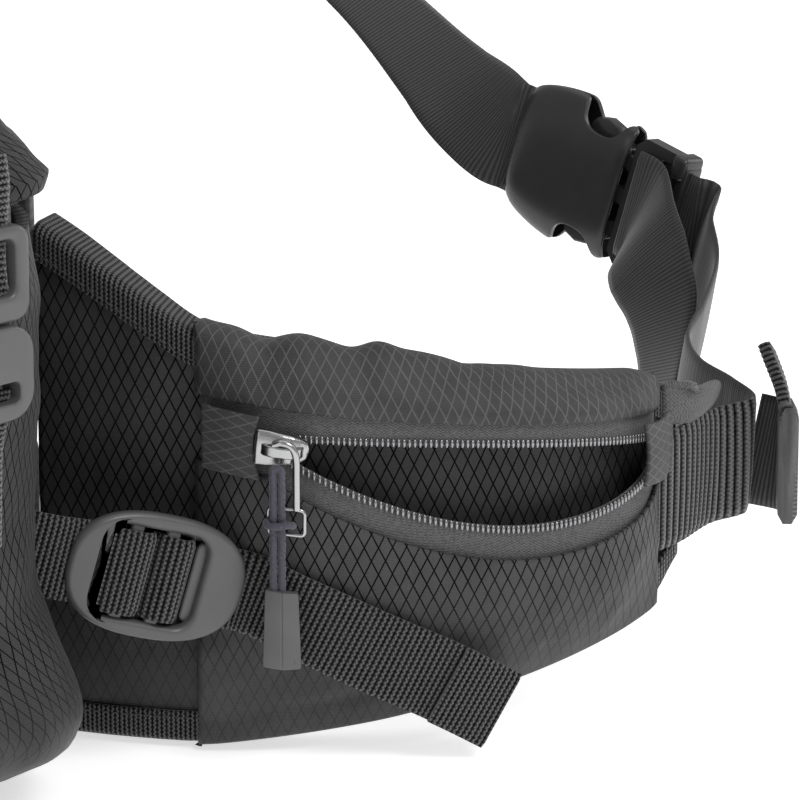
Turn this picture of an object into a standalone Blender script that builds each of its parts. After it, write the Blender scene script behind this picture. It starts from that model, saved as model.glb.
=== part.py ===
"""Hiking waist pack: body with hinged lid, padded hip wings with zipped pockets, waist belt.

Metres, +Z up. The pack front faces -Y, the belt loop closes at +Y, the wearer stands at the origin.
Most parts are described in belt coordinates: an angle round the waist (0 at the front centre,
positive towards +X), an outward offset from the inner face of the belt, and a height.
"""
import math

import bpy
from mathutils import Vector
from mathutils.geometry import delaunay_2d_cdt

MM = 0.001
BELT_A, BELT_B = 145.0, 115.0          # semi-axes of the belt's inner face
GAP = 0.3
CORE_OUT = 10.5                        # foam thickness of pads and wings
FACE_IN, FACE_OUT = 10.8, 11.8         # outer fabric of the wing
BIND_IN, BIND_OUT = 12.1, 13.1         # outer leg of the edge binding
POCKET_IN, POCKET_WALL = 13.5, 1.2     # pocket cloth where it meets the wing
WING_START, WING_END = 27.5, 100.0     # angles of the wing's root and tip
POCKET_START, POCKET_END = 43.5, 95.0
MOUTH_START, MOUTH_END = 50.0, 96.0
SLIDER_FRONT, SLIDER_REAR = 51.4, 86.8
MOUTH_DROP = 16.5                      # how far the lower lip of the open pocket sags
WING_TOP = ((20, 136), (29, 125.5), (32, 121), (43.5, 102), (62.5, 95.5), (76, 88), (95, 80.5), (100, 74.5))
WING_BOTTOM = ((20, 1.2), (30, 1.2), (43.5, 1.2), (62.5, 8), (73, 13), (91, 21), (96, 24), (100, 34))
ZIP_HEIGHT = ((44, 81), (92, 67))
BODY_HALF_WIDTH, BODY_FRONT, BODY_REAR = 123.0, -233.0, -131.0
BODY_RIM = 140.0
LID_HINGE_Y, LID_HINGE_Z = -140.0, 150.0
WALL = 3.0
WEB_WIDE, WEB_NARROW, WEB_THICK = 30.0, 20.0, 1.3
BUCKLE_T = 10.0


def lerp_table(table, value):
    """Height from a short list of (angle, height) stations."""
    if value <= table[0][0]:
        return table[0][1]
    for (a, va), (b, vb) in zip(table, table[1:]):
        if value <= b:
            return va + (vb - va) * (value - a) / (b - a)
    return table[-1][1]


def belt(angle, offset, height):
    """Point in millimetres from belt coordinates."""
    t = math.radians(angle)
    x, y = BELT_A * math.sin(t), -BELT_B * math.cos(t)
    nx, ny = x / BELT_A ** 2, y / BELT_B ** 2
    k = offset / math.hypot(nx, ny)
    return Vector((x + nx * k, y + ny * k, height))


def bump(value, start, end, power=1.0):
    """Smooth hill that is 0 at both ends and 1 in the middle."""
    t = (value - start) / (end - start)
    if t <= 0 or t >= 1:
        return 0.0
    return math.sin(math.pi * t) ** power


def material(name, colour, rough, metal=0.0):
    mat = bpy.data.materials.new(name)
    mat.use_nodes = True
    shader = mat.node_tree.nodes["Principled BSDF"]
    shader.inputs["Base Color"].default_value = (*colour, 1.0)
    shader.inputs["Roughness"].default_value = rough
    shader.inputs["Metallic"].default_value = metal
    return mat


LOOKS = {
    "ripstop": ((0.035, 0.036, 0.04), 0.7, 0.0),
    "foam": ((0.025, 0.025, 0.028), 0.9, 0.0),
    "webbing": ((0.045, 0.045, 0.05), 0.75, 0.0),
    "tape": ((0.03, 0.03, 0.033), 0.8, 0.0),
    "plastic": ((0.11, 0.11, 0.115), 0.45, 0.0),
    "metal": ((0.62, 0.62, 0.63), 0.3, 1.0),
    "cord": ((0.16, 0.15, 0.18), 0.8, 0.0),
}


def add_node(name, verts, faces, look, origin=None):
    """Mesh object from millimetre points, with its origin on a joint axis when it has one."""
    base = Vector(origin) if origin is not None else Vector((0, 0, 0))
    mesh = bpy.data.meshes.new(name)
    mesh.from_pydata([(Vector(v) - base) * MM for v in verts], [], faces)
    mesh.validate()
    obj = bpy.data.objects.new(name, mesh)
    obj.location = base * MM
    bpy.context.scene.collection.objects.link(obj)
    colour, rough, metal = LOOKS[look]
    mesh.materials.append(material(name, colour, rough, metal))
    return obj


def loft(name, rings, look, origin=None, closed=False):
    """Skin a row of equal rings; ends are capped with strips unless the row is closed."""
    count = len(rings[0])
    verts = [p for ring in rings for p in ring]
    faces = []
    rows = len(rings)
    for i in range(rows if closed else rows - 1):
        a, b = i * count, ((i + 1) % rows) * count
        for k in range(count):
            n = (k + 1) % count
            faces.append((a + k, a + n, b + n, b + k))
    if not closed:
        last = (rows - 1) * count
        for k in range(count // 2 - 1):
            j = count - 1 - k
            faces.append((j, j - 1, k + 1, k))
            faces.append((last + k, last + k + 1, last + j - 1, last + j))
    obj = add_node(name, verts, faces, look, origin)
    return fix_normals(obj)


def fix_normals(obj):
    """Turn the mesh right side out when its signed volume is negative."""
    import bmesh
    bm = bmesh.new()
    bm.from_mesh(obj.data)
    bmesh.ops.triangulate(bm, faces=bm.faces)
    bmesh.ops.recalc_face_normals(bm, faces=bm.faces)
    if bm.calc_volume(signed=True) < 0:
        bmesh.ops.reverse_faces(bm, faces=bm.faces)
    bm.to_mesh(obj.data)
    bm.free()
    return obj


def slab(name, angles, low, high, inner, outer, look, steps=2, side=1, origin=None):
    """Curved sheet between two heights and two offsets, each a function of angle and 0..1 height."""
    rings = []
    for angle in angles:
        z0, z1 = low(angle), high(angle)
        up, down = [], []
        for j in range(steps + 1):
            t = j / steps
            z = z0 + (z1 - z0) * t
            up.append(belt(angle, outer(angle, t), z))
            down.append(belt(angle, inner(angle, t), z))
        ring = up + down[::-1]
        rings.append([Vector((side * p.x, p.y, p.z)) for p in ring])
    return loft(name, rings, look, origin)


def spread(start, end, count):
    return [start + (end - start) * i / (count - 1) for i in range(count)]


def smooth_path(points, per_span):
    """Catmull-Rom curve through the points."""
    pts = [Vector(p) for p in points]
    pts = [pts[0] * 2 - pts[1]] + pts + [pts[-1] * 2 - pts[-2]]
    out = []
    for i in range(1, len(pts) - 2):
        p0, p1, p2, p3 = pts[i - 1:i + 3]
        for k in range(per_span):
            t = k / per_span
            out.append(0.5 * (2 * p1 + (p2 - p0) * t + (2 * p0 - 5 * p1 + 4 * p2 - p3) * t * t
                              + (3 * p1 - p0 - 3 * p2 + p3) * t ** 3))
    out.append(pts[-2])
    return out


def turned(directions, share):
    """Direction at a share of the way through a list of evenly spread directions."""
    place_in_list = share * (len(directions) - 1)
    k = min(int(place_in_list), len(directions) - 2)
    return Vector(directions[k]).lerp(Vector(directions[k + 1]), place_in_list - k)


def webbing(name, points, width, thick, look="webbing", per_span=3, across=(0, 0, 1), side=1, turns=None):
    """Flat band along a path; its width lies as close as it can to the given direction."""
    path = smooth_path(points, per_span)
    run = [0.0]
    for a, b in zip(path, path[1:]):
        run.append(run[-1] + (b - a).length)
    rings = []
    for i, p in enumerate(path):
        tangent = (path[min(i + 1, len(path) - 1)] - path[max(i - 1, 0)]).normalized()
        wanted = Vector(across) if turns is None else turned(turns, run[i] / run[-1])
        w = wanted - tangent * tangent.dot(wanted)
        w.normalize()
        n = tangent.cross(w)
        h, t = w * width / 2, n * thick / 2
        ring = [p - h - t, p + h - t, p + h + t, p - h + t]
        rings.append([Vector((side * q.x, q.y, q.z)) for q in ring])
    return loft(name, rings, look)


def frame_from(centre, along, up):
    """Right-handed axes: length along the strap, width up, thickness outward."""
    a = Vector(along).normalized()
    u = (Vector(up) - a * a.dot(Vector(up))).normalized()
    return Vector(centre), a, u, a.cross(u)


def place(frame, p):
    c, a, u, n = frame
    return c + a * p[0] + u * p[1] + n * p[2]


def prism(name, outline, holes, z0, z1, look, frame, side=1, origin=None):
    """Plate with holes: a flat outline extruded along the frame's third axis."""
    loops = [outline] + holes
    points, edges = [], []
    for loop in loops:
        first = len(points)
        points += [Vector(p) for p in loop]
        edges += [(first + k, first + (k + 1) % len(loop)) for k in range(len(loop))]
    verts, _, tris, _, _, _ = delaunay_2d_cdt(points, edges, [], 1, 1e-6)

    def inside(loop, q):
        hit = False
        for (xa, ya), (xb, yb) in zip(loop, loop[1:] + loop[:1]):
            if (ya > q[1]) != (yb > q[1]) and q[0] < (xb - xa) * (q[1] - ya) / (yb - ya) + xa:
                hit = not hit
        return hit

    keep = []
    for tri in tris:
        mid = sum((verts[k] for k in tri), Vector((0, 0))) / len(tri)
        if inside(outline, mid) and not any(inside(h, mid) for h in holes):
            keep.append(tuple(tri))
    count = len(verts)
    solid = [(v.x, v.y, z0) for v in verts] + [(v.x, v.y, z1) for v in verts]
    faces = [tuple(reversed(t)) for t in keep] + [tuple(k + count for k in t) for t in keep]
    used = {}
    for tri in keep:
        for k in range(len(tri)):
            a, b = tri[k], tri[(k + 1) % len(tri)]
            used[(a, b)] = used.get((a, b), 0) + 1
    for a, b in used:
        if (b, a) not in used:
            faces.append((a, b, b + count, a + count))
    world = [place(frame, p) for p in solid]
    world = [Vector((side * p.x, p.y, p.z)) for p in world]
    org = Vector((side * origin[0], origin[1], origin[2])) if origin is not None else None
    return fix_normals(add_node(name, world, faces, look, org))


def rounded(half_x, half_y, radius, steps=3, centre=(0, 0)):
    """Rounded rectangle outline."""
    out = []
    for k, (sx, sy) in enumerate(((1, 1), (-1, 1), (-1, -1), (1, -1))):
        for j in range(steps + 1):
            a = math.radians(90 * k + 90 * j / steps)
            out.append((centre[0] + sx * (half_x - radius) + radius * math.cos(a),
                        centre[1] + sy * (half_y - radius) + radius * math.sin(a)))
    return out


def body_outline(grow, rear_line, puff=0.0, count=9):
    """Plan outline from the rear centre line round by +X to -X; puff swells the rear corners."""
    right = [(0.0, rear_line), (35.0, rear_line), (66.0, rear_line)]
    corner_x, corner_y = 68.0, -172.0
    half = BODY_HALF_WIDTH + grow
    reach = rear_line - corner_y
    for k in range(1, count):
        a = math.radians(90 - 90 * k / (count - 1))
        sx, sy = math.cos(a), math.sin(a)
        swollen = puff * abs(math.sin(2 * a)) ** 0.8
        right.append((corner_x + (half - corner_x + swollen) * sx,
                      min(corner_y + (reach + swollen) * sy, rear_line)))
    front = BODY_FRONT - grow * 0.6
    radius = 48.0 + grow
    for k in range(1, 5):
        a = math.radians(90 * k / 4)
        right.append((half - radius + radius * math.cos(a), front + radius - radius * math.sin(a)))
    right.append((35.0, front - 2.5))
    right.append((0.0, front - 3.0))
    left = [(-x, y) for x, y in right[-2:0:-1]]
    return right + left


def purge():
    for obj in list(bpy.data.objects):
        bpy.data.objects.remove(obj, do_unlink=True)


def build_body():
    levels = ((0.0, -46, 0), (3, -34, 0), (8, -17, 3), (14, -4, 5.5), (21, 4.5, 7.5), (30, 5.5, 5.5), (45, 1.5, 2.5),
              (65, -3, 0), (95, -0.5, 0), (126, 0, 0), (134, -3, 0), (BODY_RIM, -4.5, 0))
    rings = []
    for z, grow, puff in levels:
        plan = body_outline(grow, BODY_REAR - (8 if z < 3 else 0), puff)
        rings.append([Vector((x, y, z)) for x, y in plan])
    inside = []
    for z, grow, puff in reversed(levels[1:]):
        inner = body_outline(grow - WALL, BODY_REAR - WALL, puff)
        inside.append([Vector((x, y, z if z > 6 else 4.2)) for x, y in inner])
    rings += inside
    count = len(rings[0])
    verts = [p for ring in rings for p in ring]
    faces = []
    for i in range(len(rings) - 1):
        for k in range(count):
            n = (k + 1) % count
            faces.append((i * count + k, i * count + n, (i + 1) * count + n, (i + 1) * count + k))
    for ring_start, flip in ((0, False), ((len(rings) - 1) * count, True)):
        for k in range(count // 2):
            j = (count - k) % count
            j2 = count - k - 1
            quad = (ring_start + j, ring_start + k, ring_start + k + 1, ring_start + j2)
            quad = tuple(dict.fromkeys(quad))
            faces.append(quad[::-1] if flip else quad)
    fix_normals(add_node("main_body", verts, faces, "ripstop"))

    rings = []
    for angle in spread(-26.5, 26.5, 11):
        p = belt(angle, 12.2, 0)
        out_y = BODY_REAR + GAP
        ring = [Vector((p.x * 1.04, out_y, 2)), Vector((p.x * 1.04, out_y, 148)),
                Vector((p.x, p.y, 148)), Vector((p.x, p.y, 2))]
        rings.append(ring)
    loft("back_panel", rings, "foam")
    for name, start, end in (("lumbar_pad_right", 1.5, 27.0), ("lumbar_pad_left", -27.0, -1.5)):
        rings = []
        for i, angle in enumerate(spread(start, end, 7)):
            edge = 3.0 if i in (0, 6) else 0.0
            rings.append([belt(angle, 11.9, 5 + edge), belt(angle, 11.9, 145 - edge),
                          belt(angle, 3.5 + edge / 2, 145 - edge), belt(angle, 0.4 + edge, 138 - edge),
                          belt(angle, 0.4 + edge, 12 + edge), belt(angle, 3.5 + edge / 2, 5 + edge)])
        loft(name, rings, "foam")

    yoke_front = LID_HINGE_Y + 0.6
    rings = []
    for x in spread(-92, 92, 9):
        rings.append([Vector((x, -131.3, 140.4)), Vector((x, -131.3, 149.6)),
                      Vector((x, yoke_front, 149.6)), Vector((x, yoke_front, 140.4))])
    loft("rear_yoke", rings, "ripstop")
    webbing("grab_loop", ((-46, -126, 149.0), (-38, -125, 149.4), (-22, -120.5, 154), (0, -119, 155.4),
                          (22, -120.5, 154), (38, -125, 149.4), (46, -126, 149.0)), 7.0, 1.3,
            across=(0, 1, 0), per_span=2)


def lid_rings(levels, inner_shift=0.0):
    rings = []
    for z, grow, lean, puff in levels:
        plan = body_outline(grow - inner_shift, LID_HINGE_Y - 0.6 - lean - inner_shift, puff)
        rings.append([Vector((x, min(y, LID_HINGE_Y - 0.6 - lean - inner_shift), z)) for x, y in plan])
    return rings


def cap_faces(start, count, flip):
    faces = []
    for k in range(count // 2):
        quad = (start + (count - k) % count, start + k, start + k + 1, start + count - k - 1)
        quad = tuple(dict.fromkeys(quad))
        faces.append(quad[::-1] if flip else quad)
    return faces


def shell(name, outer, inner, look, origin=None):
    """Cup: outer rings, then inner rings in reverse, closed over both crowns."""
    rings = outer + inner[::-1]
    count = len(rings[0])
    verts = [p for ring in rings for p in ring]
    faces = []
    for i in range(len(rings)):
        if i == len(outer) - 1:
            continue
        a, b = i * count, ((i + 1) % len(rings)) * count
        for k in range(count):
            n = (k + 1) % count
            faces.append((a + k, a + n, b + n, b + k))
    faces += cap_faces((len(outer) - 1) * count, count, False)
    faces += cap_faces(len(outer) * count, count, True)
    return fix_normals(add_node(name, verts, faces, look, origin))


def band(name, z0, z1, grow, thick, look, origin=None):
    """Zip tape that follows the body's outline, open at the rear."""
    outer = body_outline(grow, LID_HINGE_Y - 0.8)
    inner = body_outline(grow - thick, LID_HINGE_Y - 0.8)
    rings = []
    count = len(outer)
    for k in range(4, count - 3):
        (xo, yo), (xi, yi) = outer[k], inner[k]
        rings.append([Vector((xo, yo, z0)), Vector((xo, yo, z1)), Vector((xi, yi, z1)), Vector((xi, yi, z0))])
    loft(name, rings, look, origin)


def build_lid():
    hinge = (0, LID_HINGE_Y, LID_HINGE_Z)
    outer_levels = ((150.0, -5.5, 0, 0), (152.5, 2.0, 0, 3), (156, 1.5, 1, 3), (162, -2.5, 4, 1.5), (169, -9, 10, 0),
                    (176, -20, 20, 0), (181, -36, 38, 0))
    inner_levels = ((150.0, -9.5, 0, 0), (156, -3, 2, 2), (162, -8, 6, 1), (168, -15, 13, 0), (173, -26, 24, 0),
                    (177, -42, 40, 0))
    outer = lid_rings(outer_levels)
    inner = lid_rings(inner_levels, 2.0)
    shell("lid_shell", outer, inner, "ripstop", hinge)
    band("lid_zip_lower", 140.4, 144.8, -5.0, 1.2, "tape")
    band("lid_zip_upper", 145.2, 149.7, -5.0, 1.2, "tape", hinge)
    front = BODY_FRONT + 3.0 - 2.0
    slider_at = frame_from((60, front - 2.9, 145.0), (1, 0, 0), (0, 0, 1))
    prism("lid_slider", rounded(6, 4.3, 1.5), [], -1.3, 2.2, "metal", slider_at, origin=(60, front - 2.9, 145.0))
    hinge_at = (60, front - 7.1, 146.5)
    pull = frame_from((60, front - 7.1, 132.5), (0, 0, -1), (1, 0, 0))
    prism("lid_puller", rounded(15, 3.0, 2.4), [rounded(11, 1.2, 0.9, centre=(-1, 0))], -0.7, 0.7,
          "metal", pull, origin=hinge_at)


def pocket_height(angle):
    return lerp_table(ZIP_HEIGHT, angle)


def drop(angle, amount):
    return amount * bump(angle, MOUTH_START, MOUTH_END + 1, 0.85)


def swell(angle):
    """Outward bulge of the pocket between its ends."""
    t = (angle - POCKET_START) / (POCKET_END - POCKET_START)
    return 1.0 - abs(2 * min(max(t, 0.0), 1.0) - 1) ** 4


def panel_out(angle, t, base, full, at_low, at_high):
    """Offset of a pocket panel's outer face, eased from the wing at one edge to the mouth."""
    e = t if at_low else 1 - t
    rise = math.sin(math.pi / 2 * min(1.0, e * 1.25))
    return base + full * rise * swell(angle)


def build_wing(side, sagging):
    tag = "right" if side > 0 else "left"
    stations = spread(WING_START, WING_END, 15)

    def top(a):
        return lerp_table(WING_TOP, a)

    def bottom(a):
        return lerp_table(WING_BOTTOM, a)

    slab("wing_core_" + tag, stations, lambda a: bottom(a) + 1.0, lambda a: top(a) - 1.0,
         lambda a, t: 0.3 + (2.0 if t in (0, 1) else 0), lambda a, t: CORE_OUT, "foam", 3, side)
    slab("wing_face_" + tag, stations, lambda a: bottom(a) + 1.0, lambda a: top(a) - 1.0,
         lambda a, t: FACE_IN, lambda a, t: FACE_OUT, "ripstop", 2, side)

    def binding_ring(a, z, direction):
        edge = z + direction * 0.5
        lip = z + direction * -0.6
        leg = z - direction * 8.0
        ring = [(BIND_OUT, leg), (BIND_OUT, edge), (-1.3, edge), (-1.3, leg), (-0.3, leg), (-0.3, lip),
                (BIND_IN, lip), (BIND_IN, leg)]
        return [Vector((side * p.x, p.y, p.z)) for p in (belt(a, n, h) for n, h in ring)]

    for part, table, direction in (("top", WING_TOP, 1), ("bottom", WING_BOTTOM, -1)):
        rings = [binding_ring(a, lerp_table(table, a), direction) for a in stations]
        verts = [p for ring in rings for p in ring]
        faces = []
        for i in range(len(rings) - 1):
            for k in range(8):
                n = (k + 1) % 8
                faces.append((i * 8 + k, i * 8 + n, i * 8 + 8 + n, i * 8 + 8 + k))
        for s, flip in ((0, False), ((len(rings) - 1) * 8, True)):
            for quad in ((0, 1, 6, 7), (1, 2, 5, 6), (2, 3, 4, 5)):
                q = tuple(s + k for k in quad)
                faces.append(q[::-1] if flip else q)
        fix_normals(add_node("wing_binding_%s_%s" % (part, tag), verts, faces, "tape"))

    amount = MOUTH_DROP if sagging else 0.0

    def lip(a):
        return pocket_height(a) - drop(a, amount)

    bulge = 8.5
    angles = spread(POCKET_START, POCKET_END, 17)
    slab("pocket_lower_" + tag, angles, lambda a: bottom(a) + 0.6, lambda a: lip(a) - 8.5,
         lambda a, t: panel_out(a, t, POCKET_IN, bulge, True, False),
         lambda a, t: panel_out(a, t, POCKET_IN + POCKET_WALL, bulge, True, False), "ripstop", 4, side)
    slab("pocket_upper_" + tag, angles, lambda a: pocket_height(a) + 8.5, lambda a: top(a) + 0.3,
         lambda a, t: panel_out(a, t, POCKET_IN, bulge * 0.75, False, True),
         lambda a, t: panel_out(a, t, POCKET_IN + POCKET_WALL, bulge * 0.75, False, True), "ripstop", 3, side)

    tape_angles = spread(POCKET_START + 2.5, POCKET_END - 1.5, 17)

    def tape_out(a, full):
        return POCKET_IN + full * swell(a)

    def coil_band(name, z_free, direction, full):
        rings = []
        for a in tape_angles:
            z = z_free(a)
            n = tape_out(a, full)
            ring = [(n + 0.6, z), (n + 0.6, z + direction * 1.8), (n - 0.3, z + direction * 1.8),
                    (n - 0.3, z + direction * 8.2), (n - 1.1, z + direction * 8.2), (n - 1.1, z)]
            rings.append([Vector((side * p.x, p.y, p.z)) for p in (belt(a, m, h) for m, h in ring)])
        verts = [p for ring in rings for p in ring]
        faces = []
        for i in range(len(rings) - 1):
            for k in range(6):
                m = (k + 1) % 6
                faces.append((i * 6 + k, i * 6 + m, i * 6 + 6 + m, i * 6 + 6 + k))
        for s, flip in ((0, False), ((len(rings) - 1) * 6, True)):
            for quad in ((0, 1, 2, 5), (2, 3, 4, 5)):
                q = tuple(s + k for k in quad)
                faces.append(q[::-1] if flip else q)
        fix_normals(add_node(name, verts, faces, "tape"))

    coil_band("zip_half_upper_" + tag, lambda a: pocket_height(a) + 0.3, 1, bulge * 0.75)
    coil_band("zip_half_lower_" + tag, lambda a: lip(a) - 0.3, -1, bulge - 0.4 if sagging else bulge * 0.75)

    for part, a0, a1 in (("front", 44.0, 48.2), ("rear", 89.9, 95.6)):
        slab("garage_%s_%s" % (part, tag), spread(a0, a1, 4), lambda a: pocket_height(a) - 12,
             lambda a: pocket_height(a) + 7, lambda a, t: POCKET_IN + bulge * swell(a) + 3.2,
             lambda a, t: POCKET_IN + bulge * swell(a) + 4.2, "ripstop", 1, side)

    start = SLIDER_FRONT if sagging else SLIDER_REAR
    zip_z = pocket_height(start)
    outward = tape_out(start, bulge * 0.75)
    centre = belt(start, outward + 4.4, zip_z)
    ahead = belt(start + 1, outward + 4.4, pocket_height(start + 1)) - centre
    frame = frame_from(centre, ahead, (0, 0, 1))
    prism("pocket_slider_" + tag, rounded(6.5, 4.2, 1.6), [], -1.6, 1.9, "metal", frame, side, centre)
    normal = frame[3]
    hinge = centre + normal * 3.2 + Vector((0, 0, 1.5))
    puller = frame_from(hinge + Vector((0, 0, -11.0)) + normal * 0.4, (0, 0, -1), frame[1])
    prism("pocket_puller_" + tag, rounded(11.9, 3.1, 1.6),
          [rounded(3.6, 1.7, 0.8, centre=(6.7, 0)), rounded(2.0, 1.3, 0.6, centre=(-8.4, 0))],
          -0.75, 0.75, "metal", puller, side, hinge)
    knot = hinge + Vector((0, 0, -18.5)) + normal * 0.4
    cord_points = []
    for k in range(6):
        cord_points.append(knot + normal * 2.0 + Vector((0, 0, -16.0 * k / 5)))
    webbing("pull_cord_" + tag, cord_points, 3.2, 2.0, "cord", 1, tuple(frame[1]), side)
    tab = frame_from(knot + normal * 2.7 + Vector((0, 0, -26.0)), (0, 0, -1), frame[1])
    prism("pull_tab_" + tag, rounded(9.6, 4.4, 1.0), [], -1.5, 1.5, "plastic", tab, side, knot)

    build_compression(side, tag)


def build_compression(side, tag):
    centre = Vector((112.8, -113.6, 49.4))
    along = Vector((0.41, 0.91, -0.30))
    frame = frame_from(centre, along, (0, 0, 1))
    outline = []
    for k in range(24):
        a = math.radians(15 * k)
        outline.append((22.4 * math.copysign(abs(math.cos(a)) ** 0.8, math.cos(a)),
                        15.2 * math.copysign(abs(math.sin(a)) ** 0.8, math.sin(a))))
    holes = [rounded(3.0, 11.0, 1.2, 2, (-12.0, 0)), rounded(3.0, 11.4, 1.2, 2, (-2.8, 0)),
             rounded(3.0, 11.0, 1.2, 2, (6.4, 0))]
    prism("oval_buckle_" + tag, outline, holes, -1.7, 1.7, "plastic", frame, side, centre)
    left = place(frame, (-25.4, 0, 0.0))
    webbing("body_strap_" + tag, ((115.4, -144.0, 59.0), (113.4, -139.0, 58.0), left),
            WEB_NARROW, WEB_THICK, side=side)
    start = place(frame, (25.4, 0, 0.9))
    path = [start]
    for a, n, h in ((54, 24.0, 36), (60, 24.4, 28), (66, 24.4, 20), (71, 24.0, 12)):
        path.append(belt(a, n, h))
    webbing("compression_tail_" + tag, path, WEB_NARROW, WEB_THICK, side=side, per_span=2)


def side_buckle(side, tag):
    x = BODY_HALF_WIDTH + 2.4
    y = -181.0
    webbing("side_strap_upper_" + tag, ((x + 4.6, y, 160), (x + 4.2, y, 154), (x + 3.4, y, 148.6)),
            WEB_NARROW, WEB_THICK, across=(0, 1, 0), side=side)
    base = Vector((x + 3.4, y, 137.0))
    frame = (base, Vector((0, 0, 1)), Vector((0, 1, 0)), Vector((-1, 0, 0)))
    prism("side_buckle_male_" + tag, rounded(11, 14.5, 3.0), [rounded(6.5, 10.6, 1.5, 2, (1.5, 0))],
          -2.6, 2.6, "plastic", frame, side)
    base = Vector((x + 3.4, y, 114.5))
    frame = (base, Vector((0, 0, 1)), Vector((0, 1, 0)), Vector((-1, 0, 0)))
    prism("side_buckle_female_" + tag, rounded(10.8, 14.5, 5.5), [rounded(2.4, 10.4, 1.0, 2, (-4.5, 0))],
          -3.4, 3.4, "plastic", frame, side, base)
    webbing("side_strap_lower_" + tag, ((x + 0.9, y, 102.4), (x - 0.2, y, 94), (x - 0.4, y, 84), (x - 1.0, y, 72)),
            WEB_NARROW, WEB_THICK, across=(0, 1, 0), side=side, per_span=2)


BUCKLE_CENTRE = Vector((26.2, 132.0, 87.7))
BUCKLE_ALONG = Vector((-0.972, -0.014, 0.234))
BUCKLE_UP = Vector((0.23, 0.131, 0.964))
LEFT_STRAP_TURNS = (BUCKLE_UP, (-0.24, 0.81, 0.55), (-0.38, 0.90, 0.22), (-0.45, 0.89, 0.05), (-0.42, 0.91, 0.0),
                    (-0.40, 0.92, 0.0), (-0.40, 0.92, 0.0), (-0.10, 0.30, 0.90), (0, 0, 1))
TAIL_TURNS = (BUCKLE_UP, (0.50, 0.20, 0.84), (0.76, 0.14, 0.63), (0.88, -0.08, 0.46), (0.86, -0.32, 0.39),
              (0.81, -0.50, 0.32))


def cut(obj, boxes):
    """Subtract boxes given in the buckle's own axes."""
    for k, (frame, low, high) in enumerate(boxes):
        verts = []
        for z in (low[2], high[2]):
            for x, y in ((low[0], low[1]), (high[0], low[1]), (high[0], high[1]), (low[0], high[1])):
                verts.append(place(frame, (x, y, z)))
        faces = [(0, 3, 2, 1), (4, 5, 6, 7), (0, 1, 5, 4), (1, 2, 6, 5), (2, 3, 7, 6), (3, 0, 4, 7)]
        tool = fix_normals(add_node("cutter_%d" % k, verts, faces, "plastic"))
        tool.hide_render = True
        tool.display_type = "WIRE"
        mod = obj.modifiers.new("cut", "BOOLEAN")
        mod.operation = "DIFFERENCE"
        mod.solver = "EXACT"
        mod.object = tool
        graph = bpy.context.evaluated_depsgraph_get()
        mesh = bpy.data.meshes.new_from_object(obj.evaluated_get(graph))
        obj.modifiers.clear()
        obj.data = mesh
        bpy.data.objects.remove(tool, do_unlink=True)


def build_waist():
    frame = frame_from(BUCKLE_CENTRE, BUCKLE_ALONG, BUCKLE_UP)
    half_t = BUCKLE_T / 2
    socket = prism("waist_buckle_socket", rounded(19, 18.8, 4, 3, (9, 0)), [], -half_t, half_t, "plastic",
                   frame, 1)
    cut(socket, ((frame, (-15, -16.0, -3.3), (16, 16.0, 3.3)),
                 (frame, (-6, -25, -2.9), (8, -15.0, 2.9)),
                 (frame, (-6, 15.0, -2.9), (8, 25, 2.9)),
                 (frame, (20.5, -15.3, -9), (24.5, 15.3, 9))))
    plug = [(12.0, 2.2), (-11.0, 2.2), (-11.0, 15.6), (-14.0, 18.4), (-27.0, 18.4), (-30.0, 15.6)]
    plug += [(x, -y) for x, y in reversed(plug)]
    prism("waist_buckle_plug", plug, [rounded(3.2, 15.2, 1.0, 2, (-23.0, 0))], -2.2, 2.2, "plastic", frame,
          1, BUCKLE_CENTRE)
    for name, s in (("waist_prong_upper", 1), ("waist_prong_lower", -1)):
        shape = [(-10.6, s * 7.4), (-4.0, s * 9.6), (5.0, s * 8.8), (7.6, s * 12.0), (5.5, s * 14.4),
                 (-3.0, s * 14.9), (-10.6, s * 11.4)]
        prism(name, shape, [], -2.0, 2.0, "plastic", frame, 1, place(frame, (-10.6, s * 9.2, 0)))
    plug_end = place(frame, (-33.0, 0, -0.3))
    plug_run = place(frame, (-38.5, 0, 0.8))
    socket_end = place(frame, (31.5, 0, 0))
    socket_run = place(frame, (40.0, 0, 0))
    webbing("waist_strap_right",
            (belt(95.9, 14.1, 52.5), belt(100, 14.3, 52.5), belt(107, 14.6, 52.5), (153, 52, 53), (139, 65.5, 54.8),
             (121, 75.5, 56), (107, 86.3, 57.5), (96, 100.5, 62), (83, 113, 66.8), (70.5, 124, 73), plug_run, plug_end),
            WEB_WIDE, WEB_THICK, turns=((0, 0, 1), BUCKLE_UP))
    left_tip = belt(95.9, 14.5, 52.5)
    left_mid = belt(105, 17.0, 52)
    webbing("waist_strap_left",
            (socket_end, socket_run, (-35, 132, 109.5), (-60, 124, 131), (-88, 109, 150), (-120, 92, 157),
             (-148, 80, 152), (-167, 70, 136), (-173, 60, 112), (-169, 52, 84), (-left_mid.x, left_mid.y, 57),
             (-left_tip.x, left_tip.y, 52.5)), WEB_WIDE, WEB_THICK, turns=LEFT_STRAP_TURNS)
    tail_start = place(frame, (-14.5, 0, -4.2))
    tail_bend = place(frame, (-22.0, 0, -6.2))
    webbing("waist_strap_tail",
            (tail_start, tail_bend, (56, 117.5, 78.4), (63.5, 113.4, 71.4), (68.6, 112, 63.4), (71.8, 109, 55.1),
             (73.9, 105.8, 46.5), (75.2, 102.9, 38.1)), WEB_WIDE, WEB_THICK, turns=TAIL_TURNS)


purge()
build_body()
build_lid()
build_wing(1, True)
build_wing(-1, False)
side_buckle(1, "right")
side_buckle(-1, "left")
build_waist()
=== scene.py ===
"""Looks for the hiking waist pack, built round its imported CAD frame. Lengths are in millimetres and angles
in degrees round the belt, unless a name or comment says otherwise."""

import math

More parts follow.
